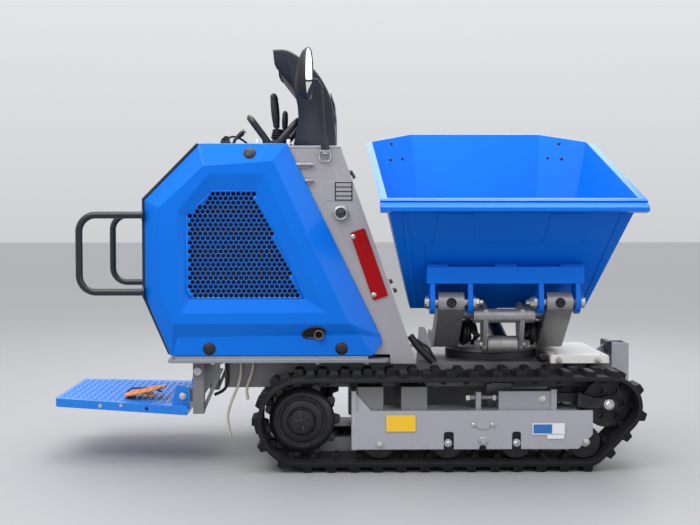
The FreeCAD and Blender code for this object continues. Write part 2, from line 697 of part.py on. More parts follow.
def make_engine_bay():
    """What the hood covers: engine, pump, exhaust, tanks, battery, radiator and fan."""
    block = box("engine_block", (-330, -60), (MID - 120, MID + 110), (390, 600))
    sump = box("engine_sump", (-310, -80), (MID - 90, MID + 80), (SIZE["deck_top"], 390))
    head = box("engine_head", (-320, -70), (MID - 80, MID + 80), (600, 700))
    wheel = rod("engine_flywheel", (-352, MID, 480), "X", 100, 24)
    node(fuse("engine_weld", block, sump, head, wheel), "engine")
    node(fuse("pump_weld", rod("pump_body", (-60, MID, 480), "X", 55, 70),
              rod("pump_flange", (-60, MID, 480), "X", 80, 14),
              box("pump_ports", (-40, 0), (MID - 40, MID + 40), (420, 560))), "hydraulic_pump")
    tip_y = off(-1, 292)
    muffler = rod("muffler", (-290, MID - 175, 640), "X", 48, 190)
    down = rod("tail_down", (-130, MID - 175, 396), "Z", 16, 206)
    neck = rod("tail_neck", (-130, MID - 175, 413), "X", 13, 34)
    tail = rod("tail_pipe", (-98, tip_y, 413), "Y", 15, (MID - 158) - tip_y)
    bore = rod("tail_bore", (-98, tip_y - 1, 413), "Y", 12, 60)
    node(cut("exhaust_pipe", fuse("exhaust_weld", muffler, down, neck, tail), bore), "exhaust")
    oil_tank = box("oil_tank", (-330, -60), (MID + 130, MID + 225), (SIZE["deck_top"], 660))
    fuel_tank = box("fuel_tank", (-440, -230), (MID - 200, MID + 200), (760, 940))
    caps = [rod("tank_neck", (-190, MID + 178, 660), "Z", 26, 30), rod("tank_neck", (-330, MID, 940), "Z", 28, 30)]
    node(group("tank_pair", fuse("oil_tank_weld", oil_tank, caps[0]), fuse("fuel_tank_weld", fuel_tank, caps[1])),
         "fluid_tanks")
    battery = box("battery_case", (-50, 60), (MID + 90, MID + 230), (SIZE["deck_top"], 500))
    node(fuse("battery_weld", battery, rod("battery_post", (-20, MID + 115, 500), "Z", 9, 16),
              rod("battery_post", (-20, MID + 205, 500), "Z", 9, 16)), "battery")
    core = box("radiator_core", (-540, -490), (MID - 190, MID + 190), (400, 740))
    feet = [box("radiator_foot", (-535, -495), (off(side, 150), off(side, 180)), (SIZE["deck_top"], 400))
            for word, side in SIDES]
    node(fuse("radiator_weld", core, *feet), "radiator")
    hub = rod("fan_hub", (-440, MID, 570), "X", 40, 40)
    blades = []
    for index in range(6):
        blade = box("fan_blade", (0, 8), (-24, 24), (20, 160))
        blade.Placement = Placement(Vector(-420, MID.value, 570), Rotation(Vector(1, 0, 0), 60 * index)).multiply(
            Placement(Vector(0, 0, 0), Rotation(Vector(0, 0, 1), 30)).multiply(blade.Placement))
        blades.append(blade)
    node(fuse("fan_weld", hub, *blades), "cooling_fan")


# ---------------------------------------------------------------- operator's end

def make_grab_rails():
    """The two black hand rails behind the hood, with the feet they bolt on by."""
    pieces = []
    for word, side in SIDES:
        y = number(off(side, 268))
        points = [Vector(-646, y, 784), Vector(-844, y, 784), Vector(-844, y, 544), Vector(-644, y, 544)]
        pieces.append(swept("grab_rail", points, SIZE["grab_rail_radius"], 52))
        for x, z in ((-648, 784), (-646.5, 544)):
            pieces.append(rod("rail_foot", (x, y, z), "X", 20, 6))
    halves = [fuse("rail_half", *pieces[:3]), fuse("rail_half", *pieces[3:])]
    node(group("rail_pair", *halves), "grab_rails")


PIVOT_HEIGHT = 1018


def lever(name, foot, knee, top, shaft_radius, grip_radius, grip_length):
    """A lever: a shaft from its pivot, and a thicker grip at the top."""
    foot, knee, top = Vector(*foot), Vector(*knee), Vector(*top)
    heading = (top - knee).normalize()
    lower = DOC.addObject("Part::Cylinder", name + "_lower")
    lower.Radius = shaft_radius
    lower.Height = (knee - foot).Length
    lower.Placement = Placement(foot, Rotation(Vector(0, 0, 1), knee - foot))
    joint = DOC.addObject("Part::Sphere", name + "_knee")
    joint.Radius = shaft_radius
    joint.Placement = Placement(knee, Rotation())
    upper = DOC.addObject("Part::Cylinder", name + "_upper")
    upper.Radius = shaft_radius
    upper.Height = (top - knee).Length - grip_length + 5
    upper.Placement = Placement(knee, Rotation(Vector(0, 0, 1), heading))
    grip = DOC.addObject("Part::Cylinder", name + "_grip")
    grip.Radius = grip_radius
    grip.Height = grip_length
    grip.Placement = Placement(top - heading * grip_length, Rotation(Vector(0, 0, 1), heading))
    cap = DOC.addObject("Part::Sphere", name + "_cap")
    cap.Radius = grip_radius
    cap.Placement = Placement(top, Rotation())
    barrel = rod(name + "_pivot", (foot.x, foot.y - shaft_radius - 4, PIVOT_HEIGHT), "Y", shaft_radius + 1,
                 2 * shaft_radius + 8)
    return node(fuse(name + "_weld", lower, joint, upper, grip, cap, barrel), name)


def make_controls():
    """Levers with their boots, the hand hoops, the throttle and the mirror."""
    y = MID.value
    lever("drive_lever_right", (-235, y - 95, 1011), (-238, y - 95, 1075), (-246, y - 95, 1172), 6, 12, 72)
    lever("drive_lever_left", (-235, y - 40, 1011), (-238, y - 40, 1075), (-246, y - 40, 1172), 6, 12, 72)
    lever("tip_lever", (-219, y + 60, 1011), (-218, y + 60, 1060), (-216, y + 60, 1130), 6, 11, 48)
    lever("throttle_lever", (-378, y - 100, 1012), (-374, y - 100, 1030), (-350, y - 100, 1058), 4, 9, 20)
    boots = []
    for x, dy in ((-235, -95), (-235, -40), (-219, 60)):
        profile = [(22, 1007), (30, 1007), (30, 1020), (26, 1026), (22, 1026)]
        boots.append(turned("boot", profile, (x, y + dy, 0), "Z"))
    node(group("boots", *boots), "lever_boots")

    hoops = []
    for points in (((-268, 1010.5), (-272, 1030), (-322, 1098)), ((-228, 1010.5), (-224, 1024), (-168, 1088))):
        for side in (-1, 1):
            hoops.append([Vector(x, y + 140 * side, z) for x, z in points])
    solids = []
    for right, left in ((hoops[0], hoops[1]), (hoops[2], hoops[3])):
        solids.append(swept("hand_hoop", right + left[::-1], 11, 24))
    node(group("hoop_pair", *solids), "hand_hoops")

    y_arm = number(off(-1, 268))
    base = fuse("mirror_socket", rod("mirror_boot", (-79, y_arm, 1000), "Z", 9, 26),
                rod("mirror_foot", (-79, y_arm, 985), "Z", 13, 15))
    bend = [Vector(-79, y_arm, 1020), Vector(-90, y_arm, 1180), Vector(-104, y_arm, 1206), Vector(-140, y_arm, 1197)]
    knuckle = rod("mirror_knuckle", (-142, y_arm - 8, 1197), "Y", 6, 16)
    node(fuse("mirror_stem", base, swept("mirror_rod", bend, 3.5, 14), knuckle), "mirror_arm")
    head = prism("mirror_shell", "XZ",
                 [(-174, 1142), (-146, 1142), (-138, 1180), (-143, 1303), (-168, 1303), (-179, 1240)],
                 (y_arm - 55, y_arm + 55), rounds=[(9, (0, 1, 3, 4))])
    socket = box("mirror_socket_room", (-154, -120), (y_arm - 12, y_arm + 12), (1186, 1208))
    node(cut("mirror_case", head, socket), "mirror_head")

    plates = []
    for word, side in SIDES:
        low, high = ordered(off(side, 250), off(side, 256))
        plates.append(prism("reflector_plate", "XZ", [(-2, 728), (44, 744), (119, 531), (72, 515)], (low, high),
                            rounds=[(6, (0, 1, 2, 3))]))
    node(group("reflector_pair", *plates), "reflectors")


def make_platform():
    """The folding step with its pedal, on the channel bracket that hangs from the deck."""
    y = MID.value
    hinge_x, hinge_z = SIZE["platform_hinge_x"], SIZE["platform_hinge_z"]
    pieces = []
    for word, side in SIDES:
        low, high = ordered(off(side, 222), off(side, 262))
        pieces.append(box("bracket_channel", (-494, -460), (low, high), (160, SIZE["deck_low"])))
        pieces.append(prism("bracket_brace", "XZ", [(-462, 160), (-462, 185), (-415, 300), (-400, 300)],
                            ordered(off(side, 232), off(side, 240))))
        pieces.append(prism("hinge_lug", "XZ", [(-545, 200), (-493, 196), (-493, 240), (-545, 234)],
                            ordered(off(side, 232), off(side, 242)), rounds=[(14, (0, 3))]))
        pieces.append(cross_rod("hinge_pin", hinge_x, (off(side, 230), off(side, 268)), hinge_z, 8))
    pieces.append(box("bracket_plate", (-470, -462), (off(-1, 224), off(1, 224)), (215, 310)))
    pieces.append(box("bracket_shelf", (-494, -401), (off(-1, 262), off(1, 262)), (317, SIZE["deck_low"])))
    node(fuse("bracket_weld", *pieces), "platform_bracket")

    back, end = SIZE["platform_back"], SIZE["platform_hinge_end"]
    wide, narrow = SIZE["platform_half"], SIZE["platform_tip_half"]
    outline = [(back, off(-1, narrow)), (end, off(-1, wide)), (end, off(1, wide)), (back, off(1, narrow))]
    slab = prism("step_slab", "XY", outline, (150, 215), rounds=[(16, (0, 3))])
    side_view = [(-937.5, 203), (-511, 185), (-511, 158), (-937.5, 176)]
    profile = prism("step_side", "XZ", side_view, (y - 300, y + 300))
    step = DOC.addObject("Part::Common", "step_solid")
    step.Base = slab
    step.Tool = profile
    hollow = prism("step_hollow", "XZ", [(-930, 199), (-515, 181.5), (-515, 140), (-930, 140)],
                   (y - 208, y + 208))
    cheeks = []
    for word, side in SIDES:
        cheeks.append(prism("step_cheek", "XZ",
                            [(-563, 180), (-504, 174), (-504, 234), (-516, 244), (-548, 250)],
                            ordered(off(side, 246), off(side, 254)), circles=[(hinge_x, hinge_z, 9)]))
    node(fuse("step_weld", cut("step_shell", step, hollow), *cheeks), "platform")

    plate = prism("pedal_plate", "XZ", [(-722, 197), (-712, 197), (-600, 224), (-600, 229), (-606, 229), (-722, 202)],
                  (y - 150, y - 105))
    barrel = cross_rod("pedal_pivot", -720, (y - 150, y - 105), 199, 5)
    node(fuse("pedal_weld", plate, barrel), "pedal")


def make_drain_tubes():
    """Two limp drain tubes that hang from under the deck."""
    radius = 4.5
    y = number(off(-1, 222))
    low = SIZE["deck_low"].value - 0.5
    routes = {
        "drain_tube_rear": [(-346, y, low), (-345, y - 1, 283), (-357, y - 3, 236), (-378, y - 3, 193),
                            (-391, y - 2, 147), (-386, y - 1, 112), (-381, y, 84)],
        "drain_tube_front": [(-306, y, low), (-309, y, 289), (-323, y + 1, 254), (-331, y + 2, 222),
                             (-324, y + 2, 198)],
    }
    for name, route in routes.items():
        points = [Vector(*point) for point in route]
        tube = node(swept(name + "_tube", points, radius, None), name)
        DOC.recompute()
        length = rounded_route(points, None).Length
        print("%s: length %.0f mm, volume ratio %.3f" % (name, length, tube.Shape.Volume
                                                          / (math.pi * radius ** 2 * length)))


# ---------------------------------------------------------------- swivel skip

def skip_x(v):
    """The x value of a place across the skip; v runs along the lip."""
    return SIZE["slew_x"] + v


def skip_y(u):
    """The y value of a place along the skip; u points from the back to the lip."""
    return MID - u


def skip_prism(name, outline, across, circles=(), rounds=()):
    """A plate of the skip group: an outline of (reach, height) points, pushed along the lip."""
    turned_outline = [(skip_y(u), z) for u, z in outline]
    turned_circles = [(skip_y(u), z, radius) for u, z, radius in circles]
    v0, v1 = ordered(*across)
    return prism(name, "YZ", turned_outline, (skip_x(v0), skip_x(v1)), turned_circles, rounds)


def skip_rod(name, u, z, radius, across):
    """A round bar along the lip."""
    v0, v1 = ordered(*across)
    return rod(name, (skip_x(v0), skip_y(u), z), "X", radius, v1 + -1 * v0)


def make_slew_group():
    """The slew ring, the turning frame with its arms, the tipping ram, its pins and hoses."""
    x, height = SIZE["slew_x"], SIZE["turntable_low"] - SIZE["chassis_top"] - 2
    ring = cut("ring_bored", rod("ring_outer", (x, MID, SIZE["chassis_top"]), "Z", SIZE["slew_ring_radius"], height),
               rod("ring_bore", (x, MID, SIZE["chassis_top"] - 5), "Z", 60, height + 10))
    node(ring, "slew_ring")

    reach, high = SIZE["tip_reach"], SIZE["tip_height"]
    base_reach, base_height = SIZE["ram_base_reach"], SIZE["ram_base_height"]
    inner = SIZE["arm_inner"]
    width = SIZE["arm_width"]
    disc_height = SIZE["turntable_top"] - SIZE["turntable_low"]
    pieces = [rod("turntable", (x, MID, SIZE["turntable_low"]), "Z", SIZE["slew_ring_radius"] - 2, disc_height),
              skip_prism("turntable_plate", [(-60, 357), (145, 357), (145, 366), (-60, 366)],
                         (-1 * (inner + width), inner + width))]
    arm_outline = [(-40, 357), (150, 357), (168, 362), (326, 493), (276, 537), (118, 405), (92, 395), (-40, 395)]
    link_outline = [(base_reach + 26, base_height - 2), (base_reach - 26, base_height - 2), (202, 478), (232, 506),
                    (300, 490), (306, 470)]
    for end in (-1, 1):
        span = (inner * end, (inner + width) * end)
        head = skip_rod("arm_head", reach, high, 31, span)
        bore = skip_rod("arm_bore", reach, high, 14.5, (inner * end - 5 * end, (inner + width) * end + 5 * end))
        pieces.append(cut("arm", fuse("arm_weld", skip_prism("arm_plate", arm_outline, span), head), bore))
        link_span = (50 * end, 64 * end)
        foot = skip_rod("link_foot", base_reach, base_height, 26, link_span)
        collar = skip_rod("link_collar", 232, 478, 32, link_span)
        foot_bore = skip_rod("link_bore", base_reach, base_height, 12.5, (45 * end, 70 * end))
        pieces.append(cut("link", fuse("link_weld", skip_prism("link_plate", link_outline, link_span), foot, collar),
                          foot_bore))
        pieces.append(skip_rod("cross_tube", 232, 478, 24, (48 * end, (inner + 2) * end)))
    pieces.append(skip_rod("link_bar", 284, 470, 18, (-66, 66)))
    node(fuse("slew_weld", *pieces), "slew_frame")

    pins = [skip_rod("ram_pin", base_reach, base_height, 12, (-72, 72))]
    for end in (-1, 1):
        shank = skip_rod("tip_pin", reach, high, 14, (98 * end, 242 * end))
        pins.append(fuse("tip_pin_weld", shank, skip_rod("tip_nut", reach, high, 21, (90 * end, 100 * end)),
                         skip_rod("tip_nut", reach, high, 21, (235 * end, 245 * end))))
    node(group("pin_set", *pins), "tip_pins")

    ram_start = Vector(number(x), number(skip_y(base_reach)), base_height.value)
    ram_end = Vector(number(x), number(skip_y(SIZE["ram_eye_reach"])), SIZE["ram_eye_height"].value)
    heading = (ram_end - ram_start).normalize()
    turn = Rotation(Vector(0, 0, 1), heading)
    tube = DOC.addObject("Part::Cylinder", "ram_tube")
    tube.Height = 228
    bore = DOC.addObject("Part::Cylinder", "ram_bore")
    bore.Height = 220
    stem = DOC.addObject("Part::Cylinder", "ram_stem")
    for thing, radius, from_base in ((tube, SIZE["ram_radius"], 24), (bore, SIZE["rod_radius"] + 1, 40),
                                     (stem, SIZE["rod_radius"], 44)):
        thing.Radius = number(radius)
        bind(thing, "Radius", radius)
        thing.Placement = Placement(ram_start + heading * from_base, turn)
    stem.Height = (ram_end - ram_start).Length - 44 - 16
    foot = skip_rod("ram_foot", base_reach, base_height, 26, (-24, 24))
    foot_bore = skip_rod("ram_foot_bore", base_reach, base_height, 13, (-30, 30))
    node(cut("ram_shell", fuse("ram_weld", tube, foot), bore, foot_bore), "tip_cylinder")
    eye = cut("rod_eye_bored", skip_rod("rod_eye", SIZE["ram_eye_reach"], SIZE["ram_eye_height"], 19, (-18, 18)),
              skip_rod("rod_eye_bore", SIZE["ram_eye_reach"], SIZE["ram_eye_height"], 9, (-20, 20)))
    node(fuse("rod_weld", stem, eye), "tip_rod")

    hoses = []
    for end in (-1, 1):
        route = ((112, 367.5, 100), (116, 410, 100), (150, 446, 98), (196, 440, 92), (222, 412, 86), (236, 400, 71))
        points = [Vector(number(skip_x(v * end)), number(skip_y(u)), z) for u, z, v in route]
        hoses.append(swept("ram_hose", points, 8, 14))
    node(group("hose_pair", *hoses), "ram_hoses")


def outer_planes():
    """The flat walls of the skip: a point on each and the way it faces, in (v, u, z)."""
    floor_z = SIZE["skip_bottom"].value
    floor_half = SIZE["skip_floor_half"].value
    front, back = SIZE["floor_front"].value, SIZE["floor_back"].value
    back_reach, back_z = SIZE["back_reach"].value, SIZE["back_height"].value
    half = SIZE["skip_half_width"].value
    lip = (SIZE["lip_half_width"].value, SIZE["lip_reach"].value, SIZE["lip_height"].value)
    planes = [((0, 0, floor_z), (0, 0, -1)),
              ((0, front, floor_z), (0, 300, -263)),
              ((0, back, floor_z), (0, -(back_z - floor_z), back_reach - back))]
    for end in (-1, 1):
        top_back = Vector(242 * end, back_reach, back_z)
        top_side = Vector(half * end, -300, 1046)
        floor_corner = Vector(190 * end, back, floor_z)
        floor_front = Vector(floor_half * end, front, floor_z)
        lip_corner = Vector(lip[0] * end, lip[1], lip[2])
        for first, second, third in ((top_back, top_side, floor_corner), (top_side, lip_corner, floor_front)):
            facing = (second - first).cross(third - first)
            if facing.x * end < 0:
                facing = facing * -1
            planes.append((tuple(first), tuple(facing)))
    return planes


def cut_by_planes(planes, inset, top_rise):
    """The convex solid inside the planes, each moved inwards by the inset."""
    reach = 3000
    solid = Part.makeBox(reach, reach, reach, Vector(-reach / 2, -reach / 2, -reach / 2))
    rim_slope = (SIZE["back_height"].value - SIZE["lip_height"].value) / (
        SIZE["lip_reach"].value - SIZE["back_reach"].value)
    rim = ((0, SIZE["lip_reach"].value, SIZE["lip_height"].value + top_rise), (0, rim_slope, 1))
    for index, (point, facing) in enumerate(list(planes) + [rim]):
        outward = Vector(*facing).normalize()
        shift = 0 if index == len(planes) else inset
        block = Part.makeBox(2 * reach, 2 * reach, 2 * reach, Vector(-reach, -reach, 0))
        block.Placement = Placement(Vector(*point) - outward * shift, Rotation(Vector(0, 0, 1), outward))
        solid = solid.cut(block)
    return solid


def make_skip():
    """The open skip with its rim flange, and the bracket that carries it on the pins."""
    planes = outer_planes()
    flange = 17
    tub = cut_by_planes(planes, 0, 0).cut(cut_by_planes(planes, SIZE["skip_wall"].value, 100))
    rim_band = cut_by_planes(planes, -flange, 0).cut(cut_by_planes(planes, -40, -7))
    side_strip = Part.makeBox(2000, 764, 2000, Vector(-1000, -272, 0))
    rim_band = rim_band.cut(cut_by_planes(planes, 3, 100)).common(side_strip)
    matrix = FreeCAD.Matrix()
    matrix.A22 = -1
    tub = tub.fuse(rim_band).transformGeometry(matrix)
    tub.Placement = Placement(Vector(SIZE["slew_x"].value, MID.value, 0), Rotation()).multiply(tub.Placement)
    walls = DOC.addObject("Part::Feature", "skip_walls")
    walls.Shape = tub
    lip = SIZE["lip_reach"]
    lip_half = SIZE["lip_half_width"] + flange
    lip_outline = [(438, 806), (466, 790), (lip, 795), (lip, 806), (461, 831), (448, 834)]
    node(fuse("skip_weld", walls, skip_prism("lip_flange", lip_outline, (-1 * lip_half, lip_half))), "skip_tub")

    reach, tip_z = SIZE["tip_reach"], SIZE["tip_height"]
    beam = skip_prism("bracket_beam", [(232.5, 572), (310, 572), (310, 625), (279, 625)], (-243, 243))
    pieces = [beam]
    for centre in (-226, -109, 110, 224):
        plate = skip_prism("ear_plate", [(264, tip_z), (338, tip_z), (318, 600), (262, 600)],
                           (centre - 7.5, centre + 7.5))
        ear = fuse("ear_weld", plate, skip_rod("ear_round", reach, tip_z, 37, (centre - 7.5, centre + 7.5)))
        pieces.append(cut("ear", ear, beam, skip_rod("ear_bore", reach, tip_z, 15, (centre - 9, centre + 9))))
    lugs = []
    for end in (-1, 1):
        lugs.append(skip_prism("ram_lug", [(-175, 483), (-65, 483), (-98, 436), (-142, 436)], (24 * end, 34 * end),
                               circles=[(SIZE["ram_eye_reach"], SIZE["ram_eye_height"], 9)], rounds=[(14, (2, 3))]))
    node(group("bracket_set", *pieces, *lugs), "tip_bracket")


def check_and_write():
    """Stop on any failed object, then write every sub-part to its own file."""
    DOC.recompute()
    failed = [item.Label for item in DOC.Objects if {"Invalid", "Error"} & set(item.State)]
    if failed:
        raise SystemExit("failed objects: " + ", ".join(failed))
    os.makedirs("parts", exist_ok=True)
    for name, thing in NODES.items():
        shape = thing.Shape
        if shape.isNull() or not shape.isValid() or not shape.Solids:
            raise SystemExit("bad shape: " + name)
        shape.exportStep("parts/%s.step" % name)
    print("%d sub-parts written" % len(NODES))


make_tracks()
make_chassis()
make_tower()
make_hood()
make_engine_bay()
make_grab_rails()
make_controls()
make_platform()
make_drain_tubes()
make_slew_group()
make_skip()
check_and_write()
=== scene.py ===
"""The power wheelbarrow's looks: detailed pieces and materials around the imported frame, in metres."""
import json
import math
import random

import bmesh
import bpy
from mathutils import Matrix, Vector
from mathutils.geometry import delaunay_2d_cdt

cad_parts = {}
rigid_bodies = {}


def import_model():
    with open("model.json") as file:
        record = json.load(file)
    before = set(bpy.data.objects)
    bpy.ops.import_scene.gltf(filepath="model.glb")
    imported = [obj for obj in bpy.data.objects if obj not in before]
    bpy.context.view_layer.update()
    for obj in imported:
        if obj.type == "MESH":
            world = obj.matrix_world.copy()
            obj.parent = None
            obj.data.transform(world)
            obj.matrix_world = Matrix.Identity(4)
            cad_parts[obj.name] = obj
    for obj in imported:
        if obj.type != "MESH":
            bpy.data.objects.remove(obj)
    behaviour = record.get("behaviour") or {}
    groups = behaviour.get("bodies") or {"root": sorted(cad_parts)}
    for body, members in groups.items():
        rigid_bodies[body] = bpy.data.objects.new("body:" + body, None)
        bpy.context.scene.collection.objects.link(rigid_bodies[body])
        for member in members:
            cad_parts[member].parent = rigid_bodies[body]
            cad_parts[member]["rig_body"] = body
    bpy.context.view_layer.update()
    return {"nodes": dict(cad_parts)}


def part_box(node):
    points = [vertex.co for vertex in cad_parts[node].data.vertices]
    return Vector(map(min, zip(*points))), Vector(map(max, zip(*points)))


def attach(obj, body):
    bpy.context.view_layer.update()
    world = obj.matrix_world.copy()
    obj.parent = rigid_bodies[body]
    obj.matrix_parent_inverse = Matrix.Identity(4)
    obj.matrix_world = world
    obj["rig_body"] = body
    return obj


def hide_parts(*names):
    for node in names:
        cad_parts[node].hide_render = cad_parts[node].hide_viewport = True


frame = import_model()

RANDOM = random.Random(7)
SCENE = bpy.context.scene
RIGHT, LEFT = -1, 1      # the signs of the two sides along Y
SIDES = (("right", RIGHT), ("left", LEFT))


def mm_list(points):
    """Points given in millimetres, in metres."""
    return [tuple(value / 1000 for value in point) for point in points]


def middle(node):
    """The centre of a CAD node's box."""
    low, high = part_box(node)
    return (low + high) / 2


MID_Y = middle("front_post").y
SLEW_X = middle("slew_ring").x
TRACK_OFFSET = 300       # from the centre plane to the middle of each belt, in millimetres
DECK_UNDER = 0.3245      # the height of the deck's underside
STEP_REAR = -0.9375      # the ends of the folding step along the machine
STEP_FRONT = -0.511
PIN_OUT, PIN_UP = 301, 514      # the tipping pins, out and up from the slew axis, in millimetres
HERE = Matrix.Identity(4)       # for a mesh that is built where it stands


# ---------------------------------------------------------------- camera

def make_camera():
    """A low side view from the machine's right, a little to the rear of its middle."""
    distance = 3.701
    data = bpy.data.cameras.new("side_camera")
    data.sensor_width = 36
    data.lens = 56.57
    camera = bpy.data.objects.new("side_camera", data)
    SCENE.collection.objects.link(camera)
    camera.location = (-0.0638, MID_Y - distance, 0.778)
    camera.rotation_euler = (math.radians(90 - 2.37), 0, math.radians(-1.04))
    SCENE.camera = camera


make_camera()


# ---------------------------------------------------------------- materials

def link_nodes(tree, chain):
    """Link pairs of sockets given as (node, output, node, input)."""
    for source, output, target, into in chain:
        tree.links.new(source.outputs[output], target.inputs[into])


def set_inputs(node, values):
    """Set a shader node's inputs by name, and give the node back."""
    for name, value in values.items():
        node.inputs[name].default_value = value
    return node


def add_node(tree, kind, values):
    """Add a shader node of a kind, with the values of its inputs."""
    return set_inputs(tree.nodes.new("ShaderNode" + kind), values)


def add_mix(tree, colours):
    """Add a node that mixes colour B into colour A."""
    mix = tree.nodes.new("ShaderNodeMix")
    mix.data_type = "RGBA"
    return set_inputs(mix, {name: (*colour, 1) for name, colour in colours.items()})


def add_product(tree):
    """Add a node that multiplies its two inputs."""
    product = tree.nodes.new("ShaderNodeMath")
    product.operation = "MULTIPLY"
    return product


def finish(name, colour, rough=0.4, metal=0.0, coat=0.0, mottle=0.08, mottle_scale=5.0, grain=0.1,
           grain_scale=350.0, wear=None, dust=0.0, through=0.0, flake=False, shine=0.5):
    """A procedural surface: shaded colour, uneven gloss, fine relief, worn edges and settled dust."""
    material = bpy.data.materials.new(name)
    material.use_nodes = True
    tree = material.node_tree
    shader = set_inputs(tree.nodes["Principled BSDF"], {"Metallic": metal, "Coat Weight": coat,
        "Coat Roughness": 0.06, "Specular IOR Level": shine, "Transmission Weight": through})
    place = tree.nodes.new("ShaderNodeTexCoord")
    cloud = add_node(tree, "TexNoise", {"Scale": mottle_scale, "Detail": 5})
    result = add_mix(tree, {"A": [part * (1 - mottle) for part in colour],
        "B": [min(1, part * (1 + mottle)) for part in colour]})
    link_nodes(tree, [(place, "Object", cloud, "Vector"), (cloud, "Fac", result, "Factor")])
    if dust:
        result = add_dust(tree, place, result, dust)
    if wear:
        result = add_wear(tree, place, result, wear)
    gloss = add_node(tree, "TexNoise", {"Scale": mottle_scale * 4, "Detail": 4})
    spread = add_node(tree, "MapRange", {"To Min": max(0.02, rough * 0.92),
        "To Max": min(1.0, rough * 1.1)})
    relief = add_node(tree, "TexVoronoi" if flake else "TexNoise", {"Scale": grain_scale})
    bump = add_node(tree, "Bump", {"Strength": grain, "Distance": 0.001})
    link_nodes(tree, [
        (result, "Result", shader, "Base Color"),
        (place, "Object", gloss, "Vector"),
        (gloss, "Fac", spread, "Value"),
        (spread, "Result", shader, "Roughness"),
        (place, "Object", relief, "Vector"),
        (relief, "Distance" if flake else "Fac", bump, "Height"),
        (bump, "Normal", shader, "Normal"),
    ])
    return material


def add_wear(tree, place, base, wear):
    """Mix a second colour in along convex edges, broken up by noise."""
    colour, amount = wear
    geometry = tree.nodes.new("ShaderNodeNewGeometry")
    edges = add_node(tree, "MapRange", {"From Min": 0.52, "From Max": 0.60, "To Max": amount})
    patches = add_node(tree, "TexNoise", {"Scale": 60, "Detail": 6})
    cut = add_node(tree, "MapRange", {"From Min": 0.45, "From Max": 0.62})
    both = add_product(tree)
    mixed = add_mix(tree, {"B": colour})
    link_nodes(tree, [
        (geometry, "Pointiness", edges, "Value"),
        (place, "Object", patches, "Vector"),
        (patches, "Fac", cut, "Value"),
        (edges, "Result", both, 0),
        (cut, "Result", both, 1),
        (both, "Value", mixed, "Factor"),
        (base, "Result", mixed, "A"),
    ])
    return mixed


def add_dust(tree, place, base, amount):
    """Pale dust that settles on faces that look up, in patches."""
    geometry = tree.nodes.new("ShaderNodeNewGeometry")
    split = tree.nodes.new("ShaderNodeSeparateXYZ")
    patches = add_node(tree, "TexNoise", {"Scale": 14, "Detail": 8})
    upward = add_node(tree, "MapRange", {"From Min": -0.2, "To Max": amount})
    both = add_product(tree)
    mixed = add_mix(tree, {"B": (0.32, 0.30, 0.28)})
    link_nodes(tree, [
        (geometry, "Normal", split, "Vector"),
        (split, "Z", upward, "Value"),
        (place, "Object", patches, "Vector"),
        (upward, "Result", both, 0),
        (patches, "Fac", both, 1),
        (both, "Value", mixed, "Factor"),
        (base, "Result", mixed, "A"),
    ])
    return mixed


GREY_METAL = (0.20, 0.20, 0.21)
HOOD_BLUE = finish("hood_blue", (0.002, 0.150, 0.680), 0.26, coat=0.10, mottle=0.02, grain=0.02,
    grain_scale=160, shine=0.10)
SKIP_BLUE = finish("skip_blue", (0.002, 0.145, 0.680), 0.30, coat=0.08, mottle=0.02, grain=0.03,
    grain_scale=220, shine=0.10)
STEP_BLUE = finish("step_blue", (0.006, 0.180, 0.660), 0.34, coat=0.2, mottle=0.06, mottle_scale=12,
    dust=0.04, wear=((0.10, 0.30, 0.60), 0.25), shine=0.3)
SILVER = finish("track_silver", (0.40, 0.40, 0.44), 0.36, metal=0.35, mottle=0.03, grain=0.05,
    grain_scale=500, flake=True, wear=((0.60, 0.60, 0.63), 0.15))
TOWER = finish("tower_silver", (0.38, 0.37, 0.39), 0.34, metal=0.35, mottle=0.02, grain=0.05,
    grain_scale=500, flake=True)
FRAME_GREY = finish("frame_grey", GREY_METAL, 0.42, metal=0.3, mottle=0.12, grain=0.1, dust=0.2)
DECK_GREY = finish("deck_grey", (0.26, 0.27, 0.30), 0.38, metal=0.3, mottle=0.08, grain=0.06, dust=0.15)
CREAM = finish("cover_cream", (0.78, 0.76, 0.72), 0.5, mottle=0.06, grain=0.08, dust=0.1)
ARM_GREY = finish("arm_grey", (0.30, 0.295, 0.30), 0.36, metal=0.6, mottle=0.05, grain=0.12,
    grain_scale=260, wear=((0.5, 0.5, 0.5), 0.5))
RUBBER = finish("track_rubber", (0.008, 0.008, 0.011), 0.55, mottle=0.35, mottle_scale=18, grain=0.35,
    grain_scale=420, dust=0.03, shine=0.25)
BLACK_METAL = finish("black_metal", (0.012, 0.012, 0.014), 0.34, mottle=0.2, grain=0.12, grain_scale=300,
    wear=((0.10, 0.10, 0.11), 0.6), shine=0.35)
RAIL_BLACK = finish("rail_black", (0.012, 0.013, 0.015), 0.32, mottle=0.15, grain=0.05, grain_scale=600)
VISOR = finish("visor_plastic", (0.020, 0.023, 0.036), 0.45, mottle=0.05, grain=0.28, grain_scale=900,
    shine=0.3)
PANEL_BLACK = finish("panel_black", (0.008, 0.008, 0.010), 0.5, grain=0.2, grain_scale=700)
GRIP = finish("grip_rubber", (0.010, 0.010, 0.012), 0.55, mottle=0.2, grain=0.3, grain_scale=800)
IRON = finish("engine_iron", (0.09, 0.09, 0.095), 0.6, metal=0.4, mottle=0.3, mottle_scale=14, grain=0.5)
EXHAUST = finish("exhaust_steel", (0.20, 0.16, 0.13), 0.45, metal=0.8, mottle=0.4, mottle_scale=20,
    grain=0.2)
TANK = finish("tank_plastic", (0.03, 0.03, 0.034), 0.5, grain=0.2)
ALUMINIUM = finish("core_aluminium", (0.45, 0.45, 0.47), 0.4, metal=0.9, grain=0.3, grain_scale=240)
CHROME = finish("rod_chrome", (0.72, 0.72, 0.74), 0.12, metal=1.0, mottle=0.02, grain=0.01)
